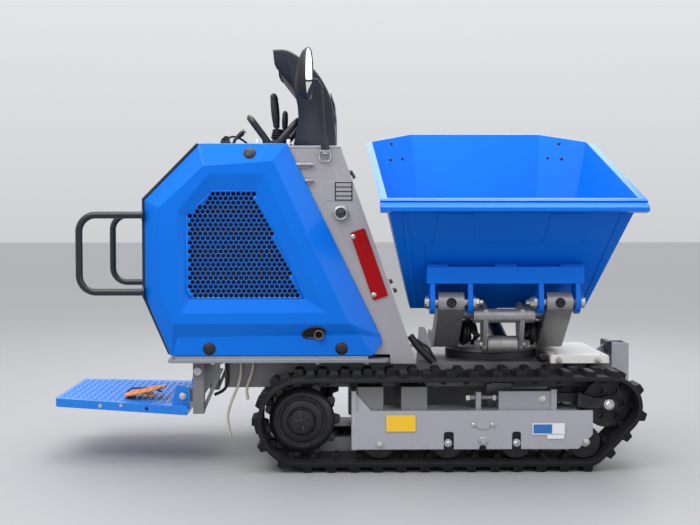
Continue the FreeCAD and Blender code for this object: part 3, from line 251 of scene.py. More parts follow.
ZINC = finish("zinc", (0.58, 0.57, 0.54), 0.30, metal=0.9, mottle=0.12, mottle_scale=40, grain=0.1,
    wear=((0.8, 0.8, 0.8), 0.6))
ORANGE = finish("pedal_orange", (0.80, 0.22, 0.015), 0.4, mottle=0.12, mottle_scale=14, grain=0.15,
    wear=((0.3, 0.28, 0.25), 0.8))
HOSE = finish("hose_black", (0.010, 0.010, 0.012), 0.5, mottle=0.2, grain=0.3, grain_scale=600)
TUBE = finish("tube_clear", (0.72, 0.66, 0.52), 0.35, mottle=0.1, mottle_scale=20, grain=0.05, through=0.25)
RED = finish("reflector_red", (0.34, 0.003, 0.005), 0.3, coat=0.05, mottle=0.08, grain=0.5, grain_scale=380,
    flake=True, shine=0.1)
YELLOW = finish("label_yellow", (0.85, 0.52, 0.02), 0.45, mottle=0.03, grain=0.03)
WHITE = finish("label_white", (0.72, 0.73, 0.75), 0.4, mottle=0.03, grain=0.03)
LABEL_BLUE = finish("label_blue", (0.02, 0.14, 0.42), 0.4, mottle=0.03, grain=0.03)
# Near-black fill for the insides of openings, which are dark for want of light: painted shade.
SHADE_FILL = finish("painted_shade_fill", (0.010, 0.007, 0.006), 0.9, mottle=0.5, mottle_scale=40, grain=0.6)
GLASS = finish("mirror_glass", (0.80, 0.82, 0.84), 0.03, metal=1.0, mottle=0.01, grain=0.0)
WORN_TEETH = finish("worn_teeth", (0.016, 0.016, 0.018), 0.32, metal=0.2, mottle=0.2, grain=0.15,
    grain_scale=200, wear=((0.14, 0.14, 0.14), 0.7))
DARK_GLASS = finish("sight_glass", (0.006, 0.006, 0.012), 0.05, coat=1.0, mottle=0.05, grain=0.0)


# ---------------------------------------------------------------- piece makers

def add_piece(name, mesh, material, body, replaced=(), bevel=0.0, segments=2, sharp=32, solid=0.0):
    """Put a mesh in the scene as a piece with its edge rounding, and let it ride on a body."""
    piece = bpy.data.objects.new(name, mesh)
    SCENE.collection.objects.link(piece)
    mesh.name = name
    mesh.materials.append(material)
    for polygon in mesh.polygons:
        polygon.use_smooth = True
    mesh.set_sharp_from_angle(angle=math.radians(sharp))
    if solid:
        thicken = piece.modifiers.new("sheet", "SOLIDIFY")
        thicken.thickness = solid
        thicken.offset = 1
    if bevel:
        rounding = piece.modifiers.new("edges", "BEVEL")
        rounding.width = bevel
        rounding.segments = segments
        rounding.limit_method = "ANGLE"
        rounding.angle_limit = math.radians(sharp)
        rounding.harden_normals = True
    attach(piece, body)
    if replaced:
        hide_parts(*replaced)
    return piece


def baked(shape):
    """The mesh of a finished bmesh, which is then freed."""
    mesh = bpy.data.meshes.new("shape")
    shape.to_mesh(mesh)
    shape.free()
    return mesh


def mesh_of(points, faces):
    """A mesh with its faces turned to look outwards."""
    shape = bmesh.new()
    corners = [shape.verts.new(point) for point in points]
    for face in faces:
        shape.faces.new([corners[index] for index in face])
    bmesh.ops.recalc_face_normals(shape, faces=shape.faces)
    return baked(shape)


def joined(meshes):
    """One mesh made from several, each given with the matrix that places it."""
    shape = bmesh.new()
    for mesh, matrix in meshes:
        copy = mesh.copy()
        copy.transform(matrix)
        shape.from_mesh(copy)
        bpy.data.meshes.remove(copy)
    return baked(shape)


def placed(mesh, place, axis=(0, 0, 1)):
    """A mesh built along +Z, put at a place along an axis."""
    mesh.transform(spot(place, axis))
    return mesh


def lathe_mesh(profile, segments=40):
    """A mesh turned round +Z from a list of (radius, height) points in millimetres."""
    shape = bmesh.new()
    rings = []
    for radius, height in mm_list(profile):
        if radius < 1e-9:
            rings.append([shape.verts.new((0, 0, height))] * segments)
            continue
        ring = []
        for i in range(segments):
            turn = math.tau * i / segments
            ring.append(shape.verts.new((radius * math.cos(turn), radius * math.sin(turn), height)))
        rings.append(ring)
    for lower, upper in zip(rings, rings[1:]):
        for i in range(segments):
            j = (i + 1) % segments
            corners = []
            for vertex in (lower[i], lower[j], upper[j], upper[i]):
                if vertex not in corners:
                    corners.append(vertex)
            if len(corners) > 2:
                shape.faces.new(corners)
    bmesh.ops.recalc_face_normals(shape, faces=shape.faces)
    return baked(shape)


def turn_to(axis):
    """The rotation that takes +Z to an axis."""
    return Vector((0, 0, 1)).rotation_difference(Vector(axis)).to_matrix().to_4x4()


def spot(place, axis=(0, 0, 1), spin=0.0):
    """A matrix that puts a part built along +Z at a place, along an axis."""
    return Matrix.Translation(Vector(place)) @ turn_to(axis) @ Matrix.Rotation(spin, 4, "Z")


def prism_faces(count):
    """The faces of a prism, whose points are its lower outline and then its upper one."""
    faces = [list(range(count)), list(range(count, 2 * count))]
    return faces + [[i, (i + 1) % count, count + (i + 1) % count, count + i] for i in range(count)]


def plate_mesh(outline, low, high, across="Y"):
    """A flat plate: an outline of two coordinates, between two places along the third axis."""
    order = {"X": (2, 0, 1), "Y": (0, 2, 1), "Z": (0, 1, 2)}[across]
    points = []
    for level in (low, high):
        for a, b in outline:
            points.append([(a, b, level)[index] for index in order])
    return mesh_of(points, prism_faces(len(outline)))


def refined(node, material, bevel=0.0015, segments=2, sharp=32):
    """The CAD node's own shape with its edges rounded off, shown in the node's place."""
    source = frame["nodes"][node]
    shape = bmesh.new()
    shape.from_mesh(source.data)
    bmesh.ops.remove_doubles(shape, verts=shape.verts, dist=1e-6)
    bmesh.ops.dissolve_limit(shape, angle_limit=math.radians(0.4), verts=shape.verts, edges=shape.edges)
    add_piece(node + "_finished", baked(shape), material, source["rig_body"], replaced=(node,), bevel=bevel,
        segments=segments, sharp=sharp)


def pipe(name, points, radius, material, body, replaced=(), smooth=True):
    """A round bar, hose or wire along points."""
    curve = bpy.data.curves.new(name, "CURVE")
    curve.dimensions = "3D"
    curve.bevel_depth = radius
    curve.bevel_resolution = 5
    curve.use_fill_caps = True
    curve.resolution_u = 10
    spline = curve.splines.new("NURBS" if smooth else "POLY")
    spline.points.add(len(points) - 1)
    for point, place in zip(spline.points, points):
        point.co = (*place, 1)
    if smooth:
        spline.order_u = 3
        spline.use_endpoint_u = True
    curve.materials.append(material)
    piece = bpy.data.objects.new(name, curve)
    SCENE.collection.objects.link(piece)
    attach(piece, body)
    if replaced:
        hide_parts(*replaced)
    return piece


# ---------------------------------------------------------------- drain tubes

def make_drain_tubes():
    """Two limp clear tubes that hang from under the deck, smoother than the frame's own."""
    y = (MID_Y * 1000) - 222
    routes = {"rear": ((-346, y, 324.5), (-345, y - 1, 283), (-357, y - 3, 236), (-378, y - 3, 193),
        (-391, y - 2, 147), (-386, y - 1, 112), (-381, y, 84)), "front": ((-306, y, 324.5), (-309, y, 289),
        (-323, y + 1, 254), (-331, y + 2, 222), (-324, y + 2, 198)),}
    for word, route in routes.items():
        node = "drain_tube_" + word
        points = mm_list(route)
        tube = pipe(node + "_hose", points, 0.0045, TUBE, "root", replaced=(node,))
        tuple(points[0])


make_drain_tubes()


# ---------------------------------------------------------------- fasteners and small parts

def flat_bolt_mesh(radius, height):
    """A hexagon bolt head on a washer, standing on its base along +Z."""
    washer = lathe_mesh([(0, 0), (radius * 1.45, 0), (radius * 1.45, height * 0.16),
        (radius * 1.38, height * 0.22), (0, height * 0.22)], 28)
    head = lathe_mesh([(0, height * 0.2), (radius * 1.12, height * 0.2), (radius * 1.12, height * 0.85),
        (radius * 0.9, height), (0, height)], 6)
    return joined([(washer, HERE), (head, HERE)])


def socket_bolt_mesh(radius, height):
    """A round cap screw with a hexagon socket."""
    return lathe_mesh([(0, 0), (radius, 0), (radius, height * 0.82), (radius * 0.88, height),
        (radius * 0.55, height), (radius * 0.5, height * 0.35), (0, height * 0.35)], 24)


def button_mesh(radius, height):
    """A low domed plug with a thin flange."""
    profile = [(0, 0), (radius, 0), (radius, height * 0.25), (radius * 0.86, height * 0.4)]
    steps = 5
    for step in range(1, steps + 1):
        turn = math.pi / 2 * step / steps
        profile.append((radius * 0.86 * math.cos(turn), height * (0.4 + 0.6 * math.sin(turn))))
    return lathe_mesh(profile, 36)


def scatter(name, part, places, material, body="root", bevel=0.0):
    """Several copies of one part, each given as (place, axis), in one piece."""
    meshes = [(part, spot(place, axis, spin=RANDOM.uniform(0, 1))) for place, axis in places]
    add_piece(name, joined(meshes), material, body, bevel=bevel)
    bpy.data.meshes.remove(part)


def side_y(side, offset):
    """The y value in metres at an offset in millimetres from the centre plane."""
    return MID_Y + side * offset / 1000


def at(side, x, offset, z):
    """A point in metres, from millimetres along the machine, out to one side of its middle, and up."""
    return (x / 1000, side_y(side, offset), z / 1000)


def outward(side):
    """The direction that points out of one side of the machine."""
    return (0, side, 0)


# ---------------------------------------------------------------- rubber tracks

class Loop:
    """The closed line round three wheels that the inside of the belt follows, seen from the side."""

    def __init__(self, circles):
        self.pieces = []
        contacts = []
        for (centre, radius), (after, next_radius) in zip(circles, circles[1:] + circles[:1]):
            run = after - centre
            heading = run.normalized()
            lean = (radius - next_radius) / run.length
            outward_turn = Vector((heading.y, -heading.x))
            normal = heading * lean + outward_turn * math.sqrt(1 - lean * lean)
            contacts.append((centre + normal * radius, after + normal * next_radius, normal))
        for index, (leave, arrive, normal) in enumerate(contacts):
            self.pieces.append(("run", (arrive - leave).length, leave, arrive, normal))
            centre, radius = circles[(index + 1) % 3]
            following = contacts[(index + 1) % 3][2]
            start = math.atan2(normal.y, normal.x)
            sweep = (math.atan2(following.y, following.x) - start) % math.tau
            self.pieces.append(("arc", radius * sweep, centre, radius, (start, sweep)))
        self.length = sum(piece[1] for piece in self.pieces)

    def at(self, distance):
        """The point and the outward direction at a distance along the loop."""
        distance %= self.length
        for kind, length, first, second, third in self.pieces:
            if distance > length:
                distance -= length
                continue
            share = distance / length
            if kind == "run":
                return first.lerp(second, share), third
            start, sweep = third
            angle = start + sweep * share
            normal = Vector((math.cos(angle), math.sin(angle)))
            return first + normal * second, normal
        return self.at(0)


BELT = 0.0115
LUG = 0.0185
PITCHES = 36


def track_loop(word):
    """The belt's inner line, from the places of the sprocket, the last roller and the idler."""
    circles = []
    for node, radius in (("sprocket_" + word, 0.122), ("roller_%s_4" % word, 0.054),
            ("idler_" + word, 0.079)):
        centre = middle(node)
        circles.append((Vector((centre.x, centre.z)), radius))
    return Loop(circles)


def belt_place(loop, middle_y, distance, across, height):
    """A point of the belt: along it, across it and above its inner face."""
    point, normal = loop.at(distance)
    flat = point + normal * height
    return (flat.x, middle_y + across, flat.y)


def carcass_mesh(loop, middle_y):
    """The belt itself: one thick band with a moulded rim along both edges."""
    section = [(-0.090, 0.0), (-0.090, 0.006), (-0.0875, 0.0135), (-0.081, 0.0135), (-0.079, BELT),
        (0.079, BELT), (0.081, 0.0135), (0.0875, 0.0135), (0.090, 0.006), (0.090, 0.0)]
    steps = 288
    points, faces = [], []
    for step in range(steps):
        for across, height in section:
            points.append(belt_place(loop, middle_y, loop.length * step / steps, across, height))
    count = len(section)
    for step in range(steps):
        for i in range(count):
            here, ahead = step * count, (step + 1) % steps * count
            faces.append([here + i, here + (i + 1) % count, ahead + (i + 1) % count, ahead + i])
    return mesh_of(points, faces)


def block_on_belt(loop, middle_y, distance, rings):
    """A moulded block on the belt; rings are (height, half length, low across, high across)."""
    points, faces = [], []
    for height, half, low, high in rings:
        point, normal = loop.at(distance)
        heading = Vector((-normal.y, normal.x))
        for along, across in ((-half, low), (half, low), (half, high), (-half, high)):
            flat = point + normal * height + heading * along
            points.append((flat.x, middle_y + across, flat.y))
    for ring in range(len(rings) - 1):
        for i in range(4):
            here, above = ring * 4, (ring + 1) * 4
            faces.append([here + i, here + (i + 1) % 4, above + (i + 1) % 4, above + i])
    faces.append([0, 1, 2, 3])
    top = 4 * (len(rings) - 1)
    faces.append([top, top + 1, top + 2, top + 3])
    return points, faces


def blocks_mesh(loop, middle_y, blocks):
    """Many moulded blocks in one mesh."""
    points, faces = [], []
    for distance, rings in blocks:
        more_points, more_faces = block_on_belt(loop, middle_y, distance, rings)
        faces += [[index + len(points) for index in face] for face in more_faces]
        points += more_points
    return mesh_of(points, faces)


def make_belt(word, side):
    """The rubber track: carcass, two staggered rows of lugs with ribs, and two rows of guide fangs."""
    loop = track_loop(word)
    middle_y = side_y(side, TRACK_OFFSET)
    pitch = loop.length / PITCHES
    top = BELT + LUG - 0.0004
    lugs, ribs, fangs = [], [], []
    for index in range(PITCHES):
        for row in (-1, 1):
            distance = pitch * (index + (0.25 if row * side > 0 else 0.75))
            low, high = sorted((row * 0.088, row * -0.002))
            lugs.append((distance, [(0.010, 0.0175, low, high), (top, 0.0115, low + 0.003, high - 0.003)]))
            outer = row * 0.088
            for along in (-0.009, 0.0, 0.009):
                rib_low, rib_high = sorted((outer - row * 0.004, outer + row * 0.0015))
                ribs.append((distance + along, [(0.0125, 0.0016, rib_low, rib_high),
                    (top - 0.004, 0.0010, rib_low, rib_high - row * 0.001)]))
        for edge in (-1, 1):
            low, high = sorted((edge * 0.0155, edge * 0.025))
            fangs.append((pitch * (index + 0.5), [(0.001, 0.0125, low, high), (-0.008, 0.0105, low, high),
                (-0.017, 0.006, low + 0.001, high - 0.001)]))
    node = "track_" + word
    add_piece(node + "_carcass", carcass_mesh(loop, middle_y), RUBBER, "root",
        replaced=(node,), bevel=0.0012, sharp=28)
    add_piece(node + "_lugs", blocks_mesh(loop, middle_y, lugs), RUBBER, "root",
        bevel=0.0022, segments=3)
    add_piece(node + "_lug_ribs", blocks_mesh(loop, middle_y, ribs), RUBBER, "root",
        bevel=0.0006)
    add_piece(node + "_fangs", blocks_mesh(loop, middle_y, fangs), RUBBER, "root",
        bevel=0.0022, segments=3)


def make_sprocket(word, side):
    """The toothed ring, worn bright on its teeth, and the domed hub with a plain round cap."""
    centre = middle("sprocket_" + word)
    body = "sprocket_%s_body" % word
    base = (centre.x, side_y(side, TRACK_OFFSET), centre.z)
    teeth, steps = 11, 12
    outline = []
    for index in range(teeth * steps):
        turn = math.tau * index / (teeth * steps)
        wave = math.cos(teeth * turn)
        radius = 0.103 + 0.0155 * max(-1, min(1, 1.6 * wave))
        outline.append((radius * math.cos(turn), radius * math.sin(turn)))
    ring = plate_mesh(outline, -0.0125, 0.0125, "Z")
    add_piece("sprocket_%s_teeth" % word, placed(ring, base, outward(side)), WORN_TEETH, body,
        bevel=0.002, sharp=40)
    dome = [(0, -12.5), (85, -12.5), (85, 13), (99, 16), (101, 20), (101, 26), (99, 33), (90, 41),
        (81, 44.5), (76.5, 44.5), (74.5, 42), (66, 42), (64, 47), (54, 51.5), (45, 53), (41.5, 50.5),
        (40, 50.5), (39, 58), (36, 62.5), (28, 65), (0, 65.5)]
    hub = lathe_mesh(dome, 72)
    add_piece("sprocket_%s_hub" % word, placed(hub, base, outward(side)), BLACK_METAL, body,
        replaced=("sprocket_" + word,), bevel=0.0008, sharp=25)
    arm = plate_mesh([(-0.004, 0.006), (0.004, 0.006), (0.0025, 0.028), (-0.0025, 0.028)], 0.062, 0.068,
        "Z")
    disc = lathe_mesh([(0, 64), (10, 64), (10, 68), (8, 69.5), (0, 69.5)], 32)
    parts = [(disc, spot(base, outward(side)))]
    for index in range(6):
        parts.append((arm, spot(base, outward(side), spin=math.tau * index / 6 + 0.26)))
    add_piece("sprocket_%s_boss" % word, joined(parts), BLACK_METAL, body, bevel=0.0008)
    bolts = []
    for index in range(9):
        turn = math.tau * index / 9 + 0.2
        bolts.append(((base[0] + 0.070 * math.cos(turn), base[1] + side * 0.041,
            base[2] + 0.070 * math.sin(turn)), outward(side)))
    scatter("sprocket_%s_bolts" % word, socket_bolt_mesh(5.2, 7), bolts, BLACK_METAL, body)


def make_wheels(word, side):
    """The rollers, the front idler with its web, and its tensioner, with their edges finished."""
    for index in range(4):
        node = "roller_%s_%d" % (word, index + 1)
        refined(node, BLACK_METAL, 0.003, 3, 35)
    refined("idler_" + word, BLACK_METAL, 0.002, 2, 35)
    centre = middle("idler_" + word)
    web = lathe_mesh([(12, -1), (64, -1), (64, 1), (12, 1), (12, -1)], 40)
    web = placed(web, (centre.x, side_y(side, TRACK_OFFSET), centre.z), outward(side))
    add_piece("idler_%s_web" % word, web, BLACK_METAL, "idler_%s_body" % word)
    refined("tensioner_" + word, BLACK_METAL, 0.0015)


for track_word, track_side in SIDES:
    make_belt(track_word, track_side)
    make_sprocket(track_word, track_side)
    make_wheels(track_word, track_side)


# ---------------------------------------------------------------- hood side panels

PANEL_RINGS = {
    "L0": (262, ((-474, 1007), (-198, 1007), (96, 403), (99, 378), (68, 344), (-561, 344), (-567, 347),
                 (-646, 531), (-646, 833))),
    "L1": (300, ((-454, 936), (-240, 951), (-5, 447), (-548, 447), (-592, 534), (-592, 806))),
    "L2": (300, ((-438, 910), (-265, 911), (-73, 481), (-526, 480), (-535, 521), (-535, 793))),
    "L3": (286, ((-429, 861), (-295, 861), (-145, 525), (-499, 525), (-513, 547), (-511, 780))),
    "low": (282, ((29, 411), (-539, 404), (68, 344), (-555, 344))),
}
PANEL_NAMES = {"L0": "ABCcDEeFG", "L1": "ABDEFG", "L2": "ABCDEF", "L3": "ABCDEF", "low": "PQRS"}
PANEL_FACES = (
    "L0A L0B L1B L1A", "L0B L0C L1D L1B", "L0G L0A L1A L1G", "L0F L0G L1G L1F", "L1F L1E lowQ lowS L0e L0F",
    "L0e lowS L0E", "L1E L1D lowP lowQ", "L1D L0C lowP", "lowQ lowP lowR lowS", "lowP L0C L0c lowR",
    "lowR L0c L0D", "lowS lowR L0D L0E",
    "L1A L1B L2B L2A", "L1B L1D L2C L2B", "L1D L1E L2D L2C",
    "L1E L1F L2E L2D", "L1F L1G L2F L2E", "L1G L1A L2A L2F",
    "L2A L2B L3B L3A", "L2B L2C L3C L3B", "L2C L2D L3D L3C",
    "L2D L2E L3E L3D", "L2E L2F L3F L3E", "L2F L2A L3A L3F",
)


def hood_panel_mesh(side):
    """One pressed side panel: a raised field with bevelled borders, a sunk window and a turned-in lip."""
    shape = bmesh.new()
    corners = {}
    for ring, (offset, points) in PANEL_RINGS.items():
        for letter, (x, z) in zip(PANEL_NAMES[ring], points):
            corners[ring + letter] = shape.verts.new(at(side, x, offset, z))
    for face in PANEL_FACES:
        shape.faces.new([corners[key] for key in face.split()])
    ring = [corners["L0" + letter] for letter in PANEL_NAMES["L0"]]
    inner = [shape.verts.new(corner.co - Vector((0, side * 0.008, 0))) for corner in ring]
    for i in range(len(ring)):
        j = (i + 1) % len(ring)
        if {i, j} != {3, 4}:
            shape.faces.new((ring[i], ring[j], inner[j], inner[i]))
    bmesh.ops.recalc_face_normals(shape, faces=shape.faces)
    if sum(face.normal.y * face.calc_area() for face in shape.faces) * side < 0:
        bmesh.ops.reverse_faces(shape, faces=shape.faces)
    return baked(shape)


def inside_outline(x, z, outline, margin):
    """True if a point lies inside a convex outline by at least a margin."""
    centre = Vector((sum(a for a, b in outline), sum(b for a, b in outline))) / len(outline)
    for (ax, az), (bx, bz) in zip(outline, outline[1:] + outline[:1]):
        normal = Vector((bz - az, ax - bx)).normalized()
        reach = normal.dot(Vector((x - ax, z - az)))
        if normal.dot(centre - Vector((ax, az))) > 0:
            reach = -reach
        if reach > -margin:
            return False
    return True


def grille_mesh(side, outline):
    """A sheet with staggered rows of hexagonal holes, flat at the back of the window."""
    pitch, hole = 15.8, 7.7
    row_step = pitch * math.sqrt(3) / 2
    corners = 6
    points = [Vector(point) for point in outline]
    loops = [list(range(len(points)))]
    low_x = min(x for x, z in outline)
    low_z = min(z for x, z in outline)
    for row in range(30):
        for column in range(28):
            x = low_x + pitch * (column + 0.5 * (row % 2))
            z = low_z + row_step * (row + 0.7)
            if inside_outline(x, z, outline, 8.2):
                start = len(points)
                for i in range(corners):
                    turn = math.tau * (i + 0.5) / corners
                    points.append(Vector((x + hole * math.cos(turn), z + hole * math.sin(turn))))
                loops.append([start + i for i in range(corners)])
    edges = [(loop[i], loop[(i + 1) % len(loop)]) for loop in loops for i in range(len(loop))]
    verts, _, faces, _, _, _ = delaunay_2d_cdt(points, edges, [], 2, 1e-4)
    holes = [sum((Vector(points[i]) for i in loop), Vector((0, 0))) / corners for loop in loops[1:]]
    kept = []
    for face in faces:
        centre = sum((Vector(verts[i]) for i in face), Vector((0, 0))) / len(face)
        if all((centre - hole_centre).length > hole * 0.9 for hole_centre in holes):
            kept.append(face)
    mesh = bpy.data.meshes.new("grille")
    mesh.from_pydata([at(side, point.x, 286.5, point.y) for point in verts], [], kept)
    return mesh


def make_hood_side(word, side):
    """A side panel with its perforated grille, a near-black sheet behind it as painted shade of the dark
    inside, caps and seal.
    """
    add_piece("hood_panel_" + word, hood_panel_mesh(side), HOOD_BLUE, "root",
        replaced=("hood_" + word,), bevel=0.014, segments=5, sharp=14)
    outline = PANEL_RINGS["L3"][1]
    add_piece("grille_" + word, grille_mesh(side, outline), HOOD_BLUE, "root",
        replaced=("hood_grilles",) if word == "right" else (), solid=0.0015)
    # A near-black sheet behind the grille: painted shade standing for the dark inside seen through the
    # holes.
    shade_sheet = plate_mesh(mm_list(outline), side_y(side, 252), side_y(side, 262))
    add_piece("grille_shade_sheet_" + word, shade_sheet, SHADE_FILL, "root")
    caps = [(at(side, -312, 282.5, 974), (0, 0.866 * side, 0.505)),
        (at(side, -440, 281, 368), outward(side)), (at(side, -28, 281, 368), outward(side))]
    scatter("hood_caps_" + word, button_mesh(20, 8), caps, PANEL_BLACK)
    seal = [at(side, x, 264, z) for x, z in ((-566, 350), (-645, 531), (-645, 833), (-475, 1005))]
    pipe("hood_seal_" + word, seal, 0.0045, PANEL_BLACK, "root", smooth=False)


def make_exhaust_opening():
    """The oval bezel in the right panel's lower band with the pipe's end in it, and a near-black disc in it
    as painted shade of the recess.
    """
    tilt = Matrix.Rotation(math.radians(22.7), 4, "X")
    bezel = lathe_mesh([(30, 0), (37.5, 0), (37.5, 3), (34.5, 4.5), (30, 3), (30, 0)], 48)
    # The recess is a near-black disc inside the bezel: painted shade.
    shade_disc = lathe_mesh([(0, 0.5), (31, 0.5), (31, 1), (0, 1)], 40)
    flat = Matrix.Diagonal((1, 0.58, 1, 1))
    roll = Matrix.Rotation(math.radians(12), 4, "Z")
    base = Matrix.Translation(at(RIGHT, -115, 287, 418)) @ tilt @ turn_to((0, -1, 0)) @ roll
    add_piece("exhaust_bezel", joined([(bezel, base @ flat)]), PANEL_BLACK, "root")
    add_piece("exhaust_recess_shade", joined([(shade_disc, base @ flat)]), SHADE_FILL, "root")
    tip = lathe_mesh([(11.5, -4), (14.5, -4), (15, 12), (13.5, 13), (11.5, 12), (11.5, -4)], 36)
    add_piece("exhaust_tip", placed(tip, at(RIGHT, -99, 287, 414), (0, -1, -0.2)), EXHAUST, "root")


for hood_word, hood_side in SIDES:
    make_hood_side(hood_word, hood_side)
make_exhaust_opening()


# ---------------------------------------------------------------- the frame's own shapes, finished

FINISHES = {
    SKIP_BLUE: ("skip_tub", "tip_bracket"),
    HOOD_BLUE: ("hood_top",),
    STEP_BLUE: ("platform",),
    SILVER: ("track_frame_right", "track_frame_left", "front_post"),
    TOWER: ("console_tower",),
    FRAME_GREY: ("chassis_frame", "platform_bracket"),
    DECK_GREY: ("deck_plate",),
    CREAM: ("front_cover",),
    PANEL_BLACK: ("instrument_panel",),
    RAIL_BLACK: ("grab_rails", "mirror_arm", "hand_hoops"),
    ARM_GREY: ("slew_frame",),
    IRON: ("slew_ring", "engine", "hydraulic_pump", "drive_motors"),
    EXHAUST: ("exhaust",),
    TANK: ("fluid_tanks", "battery", "cooling_fan"),
    ALUMINIUM: ("radiator",),
    ZINC: ("tip_pins",),
    HOSE: ("ram_hoses",),
    BLACK_METAL: ("tip_cylinder",),
    CHROME: ("tip_rod",),
    RED: ("reflectors",),
    ORANGE: ("pedal",),
}
EDGES = {"skip_tub": 0.003, "tip_bracket": 0.003, "console_tower": 0.003, "slew_frame": 0.0025,
    "platform": 0.003}
for finish_material, finish_nodes in FINISHES.items():
    for finish_node in finish_nodes:
        refined(finish_node, finish_material, EDGES.get(finish_node, 0.0015), 3)


# ---------------------------------------------------------------- console tower and its hooded dash

def flat_box(low, high):
    """A box mesh between two corners."""
    (x0, y0, z0), (x1, y1, z1) = low, high
    return plate_mesh([(x0, z0), (x1, z0), (x1, z1), (x0, z1)], y0, y1)


def smoothed(points):
    """An open line of points with its inner corners cut round, twice over."""
    for _ in range(2):
        cut = [points[0]]
        for (ax, az), (bx, bz) in zip(points, points[1:]):
            cut.append((0.75 * ax + 0.25 * bx, 0.75 * az + 0.25 * bz))
            cut.append((0.25 * ax + 0.75 * bx, 0.25 * az + 0.75 * bz))
        points = cut + [points[-1]]
    return points


def make_visor():
    """The dash hood: a curved roof and two cheeks with round shoulders, open to the rear."""
    roof = smoothed([(-246, 1313), (-205, 1315), (-168, 1296), (-122, 1260), (-92, 1225), (-62, 1168),
        (-49, 1110), (-46, 1050), (-46, 998)])
    rear = [(-183, 998), (-175, 1035), (-168, 1070), (-165, 1100), (-167, 1130), (-173, 1162), (-183, 1204),
        (-200, 1221), (-234, 1251), (-241, 1266)]
    shape = bmesh.new()
    half = 160
    rows = []
    for offset in (-half, half):
        rows.append([shape.verts.new((x / 1000, MID_Y + offset / 1000, z / 1000)) for x, z in roof])
        back = [shape.verts.new((x / 1000, MID_Y + offset / 1000, z / 1000)) for x, z in rear]
        shape.faces.new(rows[-1] + back)
    for i in range(len(roof) - 1):
        shape.faces.new((rows[0][i], rows[0][i + 1], rows[1][i + 1], rows[1][i]))
    bmesh.ops.recalc_face_normals(shape, faces=shape.faces)
    visor = add_piece("visor_hood", baked(shape), VISOR, "root", replaced=("dash_shroud",),
        bevel=0.009, segments=5, sharp=40)
    sheet = visor.modifiers.new("wall", "SOLIDIFY")
    sheet.thickness = 0.005
    sheet.offset = -1


def make_tower_details():
    """Latch rods, a blank plate, the sight port, the top strip, the visor's backing and small fixings."""
    y_skin = side_y(RIGHT, 250)
    y_out = side_y(RIGHT, 258)
    latches = []
    for x0, x1, z in ((-0.170, -0.114, 0.941), (-0.142, -0.114, 0.891)):
        length = 1000 * (x1 - x0)
        rod = lathe_mesh([(0, 0), (5.2, 0), (6.2, 4), (6.2, length - 6), (4.5, length), (0, length)], 20)
        latches.append((rod, spot((x0, y_out - 0.001, z), (1, 0, 0))))
        latches.append((flat_box((x0 + 0.006, y_out - 0.002, z - 0.010),
            (x1 - 0.012, y_skin + 0.001, z - 0.004)), HERE))
    add_piece("latch_rods", joined(latches), ARM_GREY, "root", bevel=0.0006)
    blank = [(-0.081, 0.888), (0.004, 0.888), (0.012, 0.828), (-0.077, 0.828)]
    add_piece("blank_plate", plate_mesh(blank, y_skin - 0.0012, y_skin + 0.0005), ALUMINIUM, "root",
        bevel=0.0005)
    bars = []
    for z in (0.886, 0.872, 0.858, 0.844, 0.831):
        bars.append((flat_box((-0.047, y_skin - 0.0022, z - 0.0020), (0.006, y_skin - 0.0010, z + 0.0015)),
            HERE))
    for x in (-0.049, 0.003):
        bars.append((flat_box((x, y_skin - 0.0022, 0.829), (x + 0.0035, y_skin - 0.0010, 0.887)), HERE))
    add_piece("blank_plate_frame", joined(bars), PANEL_BLACK, "root")
    bezel = lathe_mesh([(14.5, 11), (15, 14), (17.5, 17.5), (21.5, 16.5), (23.2, 12.5), (23.2, 0),
        (14.5, 0)], 48)
    nut = lathe_mesh([(14.5, 0), (26.2, 0), (26.2, 7), (24, 10), (14.5, 10)], 6)
    port = (-0.030, y_skin, 0.790)
    add_piece("sight_port", joined([(bezel, spot(port, (0, -1, 0))), (nut, spot(port, (0, -1, 0)))]), ZINC,
        "root", bevel=0.0005)
    eye = lathe_mesh([(0, 15.5), (6, 15), (14.8, 12.5), (14.8, 10), (0, 10)], 40)
    add_piece("sight_glass", placed(eye, port, (0, -1, 0)), DARK_GLASS, "root")
    knob_places = ((-1, 916), (6, 904), (124, 573), (137, 545))
    knobs = [(at(RIGHT, x, 232, z), (0.92, 0, 0.38)) for x, z in knob_places]
    scatter("tower_knobs", flat_bolt_mesh(6.5, 10), knobs, BLACK_METAL)
    strip = flat_box(at(RIGHT, -196, 252.5, 993.5), at(LEFT, -30, 252.5, 1000.5))
    add_piece("tower_top_strip", strip, SILVER, "root", bevel=0.002, segments=3)
    backing = plate_mesh([(-0.0445, 1.0005), (-0.0405, 1.0005), (-0.0405, 1.085), (-0.046, 1.140),
        (-0.0595, 1.180), (-0.0625, 1.180), (-0.0495, 1.140), (-0.0445, 1.085)], side_y(RIGHT, 118),
        side_y(LEFT, 118))
    add_piece("visor_backing", backing, TOWER, "root", bevel=0.0008)
    screws = []
    for _, side in SIDES:
        screws += [(at(side, x, 256, z), outward(side)) for x, z in ((9, 716.5), (74, 533.6))]
    scatter("reflector_screws", button_mesh(7.5, 4), screws, ZINC)
    loop = [(-0.0965, 0.978), (-0.0985, 0.962), (-0.0935, 0.9525), (-0.080, 0.951), (-0.067, 0.9525),
        (-0.0615, 0.962), (-0.0635, 0.978)]
    pipe("mirror_loop", [(x, y_out - 0.001, z) for x, z in loop], 0.0028, ZINC, "root")
    nut = lathe_mesh([(0, -4), (12.5, -4), (12.5, 1.5), (10.5, 3), (10.5, 10), (8, 11.5), (0, 11.5)], 6)
    add_piece("mirror_nut", placed(nut, at(RIGHT, -79, 268, 977)), ZINC, "root")


def band(shape, one, other):
    """Make the faces between two closed rows of points."""
    for index in range(len(one)):
        after = (index + 1) % len(one)
        shape.faces.new((one[index], other[index], other[after], one[after]))


